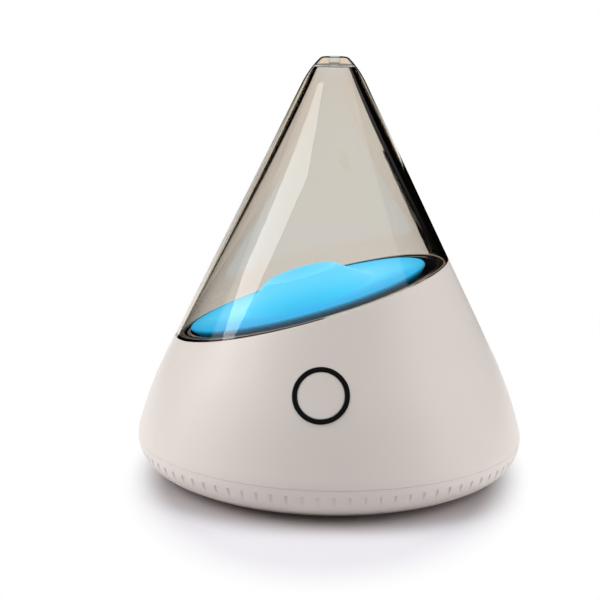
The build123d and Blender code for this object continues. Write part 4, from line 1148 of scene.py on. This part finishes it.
def seen_white(strength, ambient):
    """World that is white to the camera, to reflections and through clear plastic, and plain ambient light otherwise."""
    world = bpy.data.worlds.new("white studio")
    bpy.context.scene.world = world
    world.use_nodes = True
    n, link = world.node_tree.nodes, world.node_tree.links.new
    back = n["Background"]
    path = n.new("ShaderNodeLightPath")
    straight = n.new("ShaderNodeMath")
    straight.operation = "MAXIMUM"
    link(path.outputs["Is Camera Ray"], straight.inputs[0])
    link(path.outputs["Is Transmission Ray"], straight.inputs[1])
    either = n.new("ShaderNodeMath")
    either.operation = "MAXIMUM"
    link(straight.outputs[0], either.inputs[0])
    link(path.outputs["Is Glossy Ray"], either.inputs[1])
    level = n.new("ShaderNodeMapRange")
    level.inputs["To Min"].default_value = ambient
    level.inputs["To Max"].default_value = strength
    link(either.outputs[0], level.inputs["Value"])
    link(level.outputs["Result"], back.inputs["Strength"])
    back.inputs["Color"].default_value = (1, 1, 1, 1)


seen_white(1.0, 0.30)


def pale_floor():
    """White floor: lit near the object, so that its shadow stays, with a painted contact shadow that darkens its colour
    towards the object, and plain white further out to the camera.
    """
    material = bpy.data.materials.new("pale floor")
    material.use_nodes = True
    n, link = material.node_tree.nodes, material.node_tree.links.new
    shader = n["Principled BSDF"]
    shader.inputs["Roughness"].default_value = 0.9
    shader.inputs["Specular IOR Level"].default_value = 0.0
    path = n.new("ShaderNodeLightPath")
    straight = n.new("ShaderNodeMath")
    straight.operation = "MAXIMUM"
    link(path.outputs["Is Camera Ray"], straight.inputs[0])
    link(path.outputs["Is Transmission Ray"], straight.inputs[1])
    either = n.new("ShaderNodeMath")
    either.operation = "MAXIMUM"
    link(straight.outputs[0], either.inputs[0])
    link(path.outputs["Is Glossy Ray"], either.inputs[1])
    where = n.new("ShaderNodeTexCoord")
    reach = n.new("ShaderNodeVectorMath")
    reach.operation = "LENGTH"
    link(where.outputs["Object"], reach.inputs[0])
    # Painted contact shadow: the floor's colour darkens towards the object.
    shade = n.new("ShaderNodeValToRGB")
    shade.color_ramp.interpolation = "EASE"
    shade.color_ramp.elements[0].position = 0.064
    shade.color_ramp.elements[0].color = (0.37, 0.335, 0.335, 1)
    shade.color_ramp.elements[1].position = 0.088
    shade.color_ramp.elements[1].color = (0.71, 0.695, 0.735, 1)
    link(reach.outputs["Value"], shade.inputs["Fac"])
    path_dim = n.new("ShaderNodeMapRange")
    path_dim.inputs["To Min"].default_value = 1.0
    bounce = n.new("ShaderNodeMapRange")
    bounce.inputs["From Min"].default_value = 0.078
    bounce.inputs["From Max"].default_value = 0.110
    bounce.inputs["To Min"].default_value = 1.5
    bounce.inputs["To Max"].default_value = 0.62
    link(reach.outputs["Value"], bounce.inputs["Value"])
    link(bounce.outputs["Result"], path_dim.inputs["To Max"])
    link(path.outputs["Is Diffuse Ray"], path_dim.inputs["Value"])
    dimmed = n.new("ShaderNodeVectorMath")
    dimmed.operation = "SCALE"
    link(shade.outputs["Color"], dimmed.inputs[0])
    link(path_dim.outputs["Result"], dimmed.inputs["Scale"])
    link(dimmed.outputs["Vector"], shader.inputs["Base Color"])
    narrow = n.new("ShaderNodeVectorMath")
    narrow.operation = "MULTIPLY"
    narrow.inputs[1].default_value = (1.7, 1.0, 1.0)
    link(where.outputs["Object"], narrow.inputs[0])
    outward = n.new("ShaderNodeVectorMath")
    outward.operation = "LENGTH"
    link(narrow.outputs["Vector"], outward.inputs[0])
    spread = n.new("ShaderNodeMapRange")
    spread.interpolation_type = "SMOOTHSTEP"
    spread.inputs["From Min"].default_value = 0.104
    spread.inputs["From Max"].default_value = 0.136
    link(outward.outputs["Value"], spread.inputs["Value"])
    seen = n.new("ShaderNodeMath")
    seen.operation = "MULTIPLY"
    link(spread.outputs["Result"], seen.inputs[0])
    link(either.outputs[0], seen.inputs[1])
    white = n.new("ShaderNodeEmission")
    mix = n.new("ShaderNodeMixShader")
    link(seen.outputs[0], mix.inputs["Fac"])
    link(shader.outputs[0], mix.inputs[1])
    link(white.outputs[0], mix.inputs[2])
    link(mix.outputs[0], n["Material Output"].inputs["Surface"])
    return material


floor_bm = bmesh.new()
bmesh.ops.create_circle(floor_bm, cap_ends=True, segments=96, radius=6.0)
floor_mesh = bpy.data.meshes.new("floor")
floor_bm.to_mesh(floor_mesh)
floor_bm.free()
floor = bpy.data.objects.new("floor", floor_mesh)
bpy.context.scene.collection.objects.link(floor)
floor_mesh.materials.append(pale_floor())


def soft_box(name, azimuth, elevation, distance, width, height, watts, lean=0.0):
    """Rectangular lamp that faces the object. Azimuth 0 is in front, positive to the right."""
    lamp = bpy.data.lights.new(name, "AREA")
    lamp.shape = "RECTANGLE"
    lamp.size = width
    lamp.size_y = height
    lamp.energy = watts
    box = bpy.data.objects.new(name, lamp)
    bpy.context.scene.collection.objects.link(box)
    a, e = math.radians(azimuth), math.radians(elevation)
    away = Vector((math.sin(a) * math.cos(e), -math.cos(a) * math.cos(e), math.sin(e)))
    box.location = Vector((0, 0, 0.07)) + away * distance
    box.rotation_mode = "QUATERNION"
    box.rotation_quaternion = away.to_track_quat("Z", "Y") @ Quaternion((0, 0, 1), math.radians(lean))
    return box


strip = soft_box("left_strip", -71, 36, 0.9, 0.15, 0.75, 2.3, lean=-53)
left_fill = soft_box("left_fill", -80, 30, 1.1, 0.8, 0.8, 12.0)
right_fill = soft_box("right_fill", 84, 26, 1.1, 0.9, 0.9, 10.6)
top_fill = soft_box("top_fill", 180, 70, 1.2, 0.9, 0.9, 2.4)
strip.visible_diffuse = False
for lamp in (left_fill, right_fill, top_fill):
    lamp.visible_glossy = False
for lamp in (strip, left_fill, right_fill, top_fill):
    lamp.visible_transmission = False


def card(name, corners):
    """Dark card that only reflections and clear plastic see."""
    sheet = bmesh.new()
    sheet.faces.new([sheet.verts.new(corner) for corner in corners])
    mesh = bpy.data.meshes.new(name)
    sheet.to_mesh(mesh)
    sheet.free()
    board = bpy.data.objects.new(name, mesh)
    bpy.context.scene.collection.objects.link(board)
    paint = bpy.data.materials.new(name)
    paint.use_nodes = True
    shader = paint.node_tree.nodes["Principled BSDF"]
    shader.inputs["Base Color"].default_value = (0.004, 0.004, 0.004, 1)
    shader.inputs["Specular IOR Level"].default_value = 0.0
    mesh.materials.append(paint)
    board.visible_camera = False
    board.visible_shadow = False
    board.visible_diffuse = False


def beside_edge(near, far, low, high):
    """Corners of a card behind the cone that follows its right edge. Near and far are (factor, shift) from the axis."""
    corners = []
    for (factor, shift), height in ((near, low), (far, low), (far, high), (near, high)):
        radius = cone_point(0, height)[0]
        back = 1.75 * radius
        corners.append((factor * radius + shift, back, height - back * math.tan(0.21)))
    return corners


card("edge_card", beside_edge((1.106, -0.0029), (2.3, 0.0), 0.060, 0.132))


def upright(first, second, distance, height):
    """Corners of an upright card between two azimuths, 0 behind the object and positive to the right."""
    (x1, y1), (x2, y2) = [(distance * math.sin(math.radians(a)), distance * math.cos(math.radians(a))) for a in (first, second)]
    return [(x1, y1, 0.0), (x2, y2, 0.0), (x2, y2, height), (x1, y1, height)]


card("right_card", upright(23, 98, 0.6, 0.6))
card("left_card", upright(-34, -80, 0.6, 0.6))

# ------------------------------------------------------------------ camera
# A long lens a little above the object, turned slightly to the button's right.
DISTANCE = 0.6122
CAMERA_HEIGHT = 0.1983
TURN = math.radians(2.67)
YAW = -0.0196
PITCH = math.radians(12.12)
ROLL = math.radians(0.66)
LENS = 96.43

ahead = Vector((math.sin(YAW), math.cos(YAW), 0))
right = Vector((math.cos(YAW), -math.sin(YAW), 0))
up = Vector((0, 0, 1))
look = ahead * math.cos(PITCH) - up * math.sin(PITCH)
raised = up * math.cos(PITCH) + ahead * math.sin(PITCH)
camera_x = right * math.cos(ROLL) + raised * math.sin(ROLL)
camera_y = raised * math.cos(ROLL) - right * math.sin(ROLL)
aim = Matrix((camera_x, camera_y, -look)).transposed().to_4x4()
camera = bpy.data.objects.new("camera", bpy.data.cameras.new("camera"))
bpy.context.scene.collection.objects.link(camera)
camera.data.lens = LENS
camera.data.sensor_width = 36.0
camera.matrix_world = (
    Matrix.Rotation(TURN, 4, "Z") @ Matrix.Translation((0, -DISTANCE, CAMERA_HEIGHT)) @ aim
)
bpy.context.scene.camera = camera
bpy.context.scene.view_settings.view_transform = "Standard"
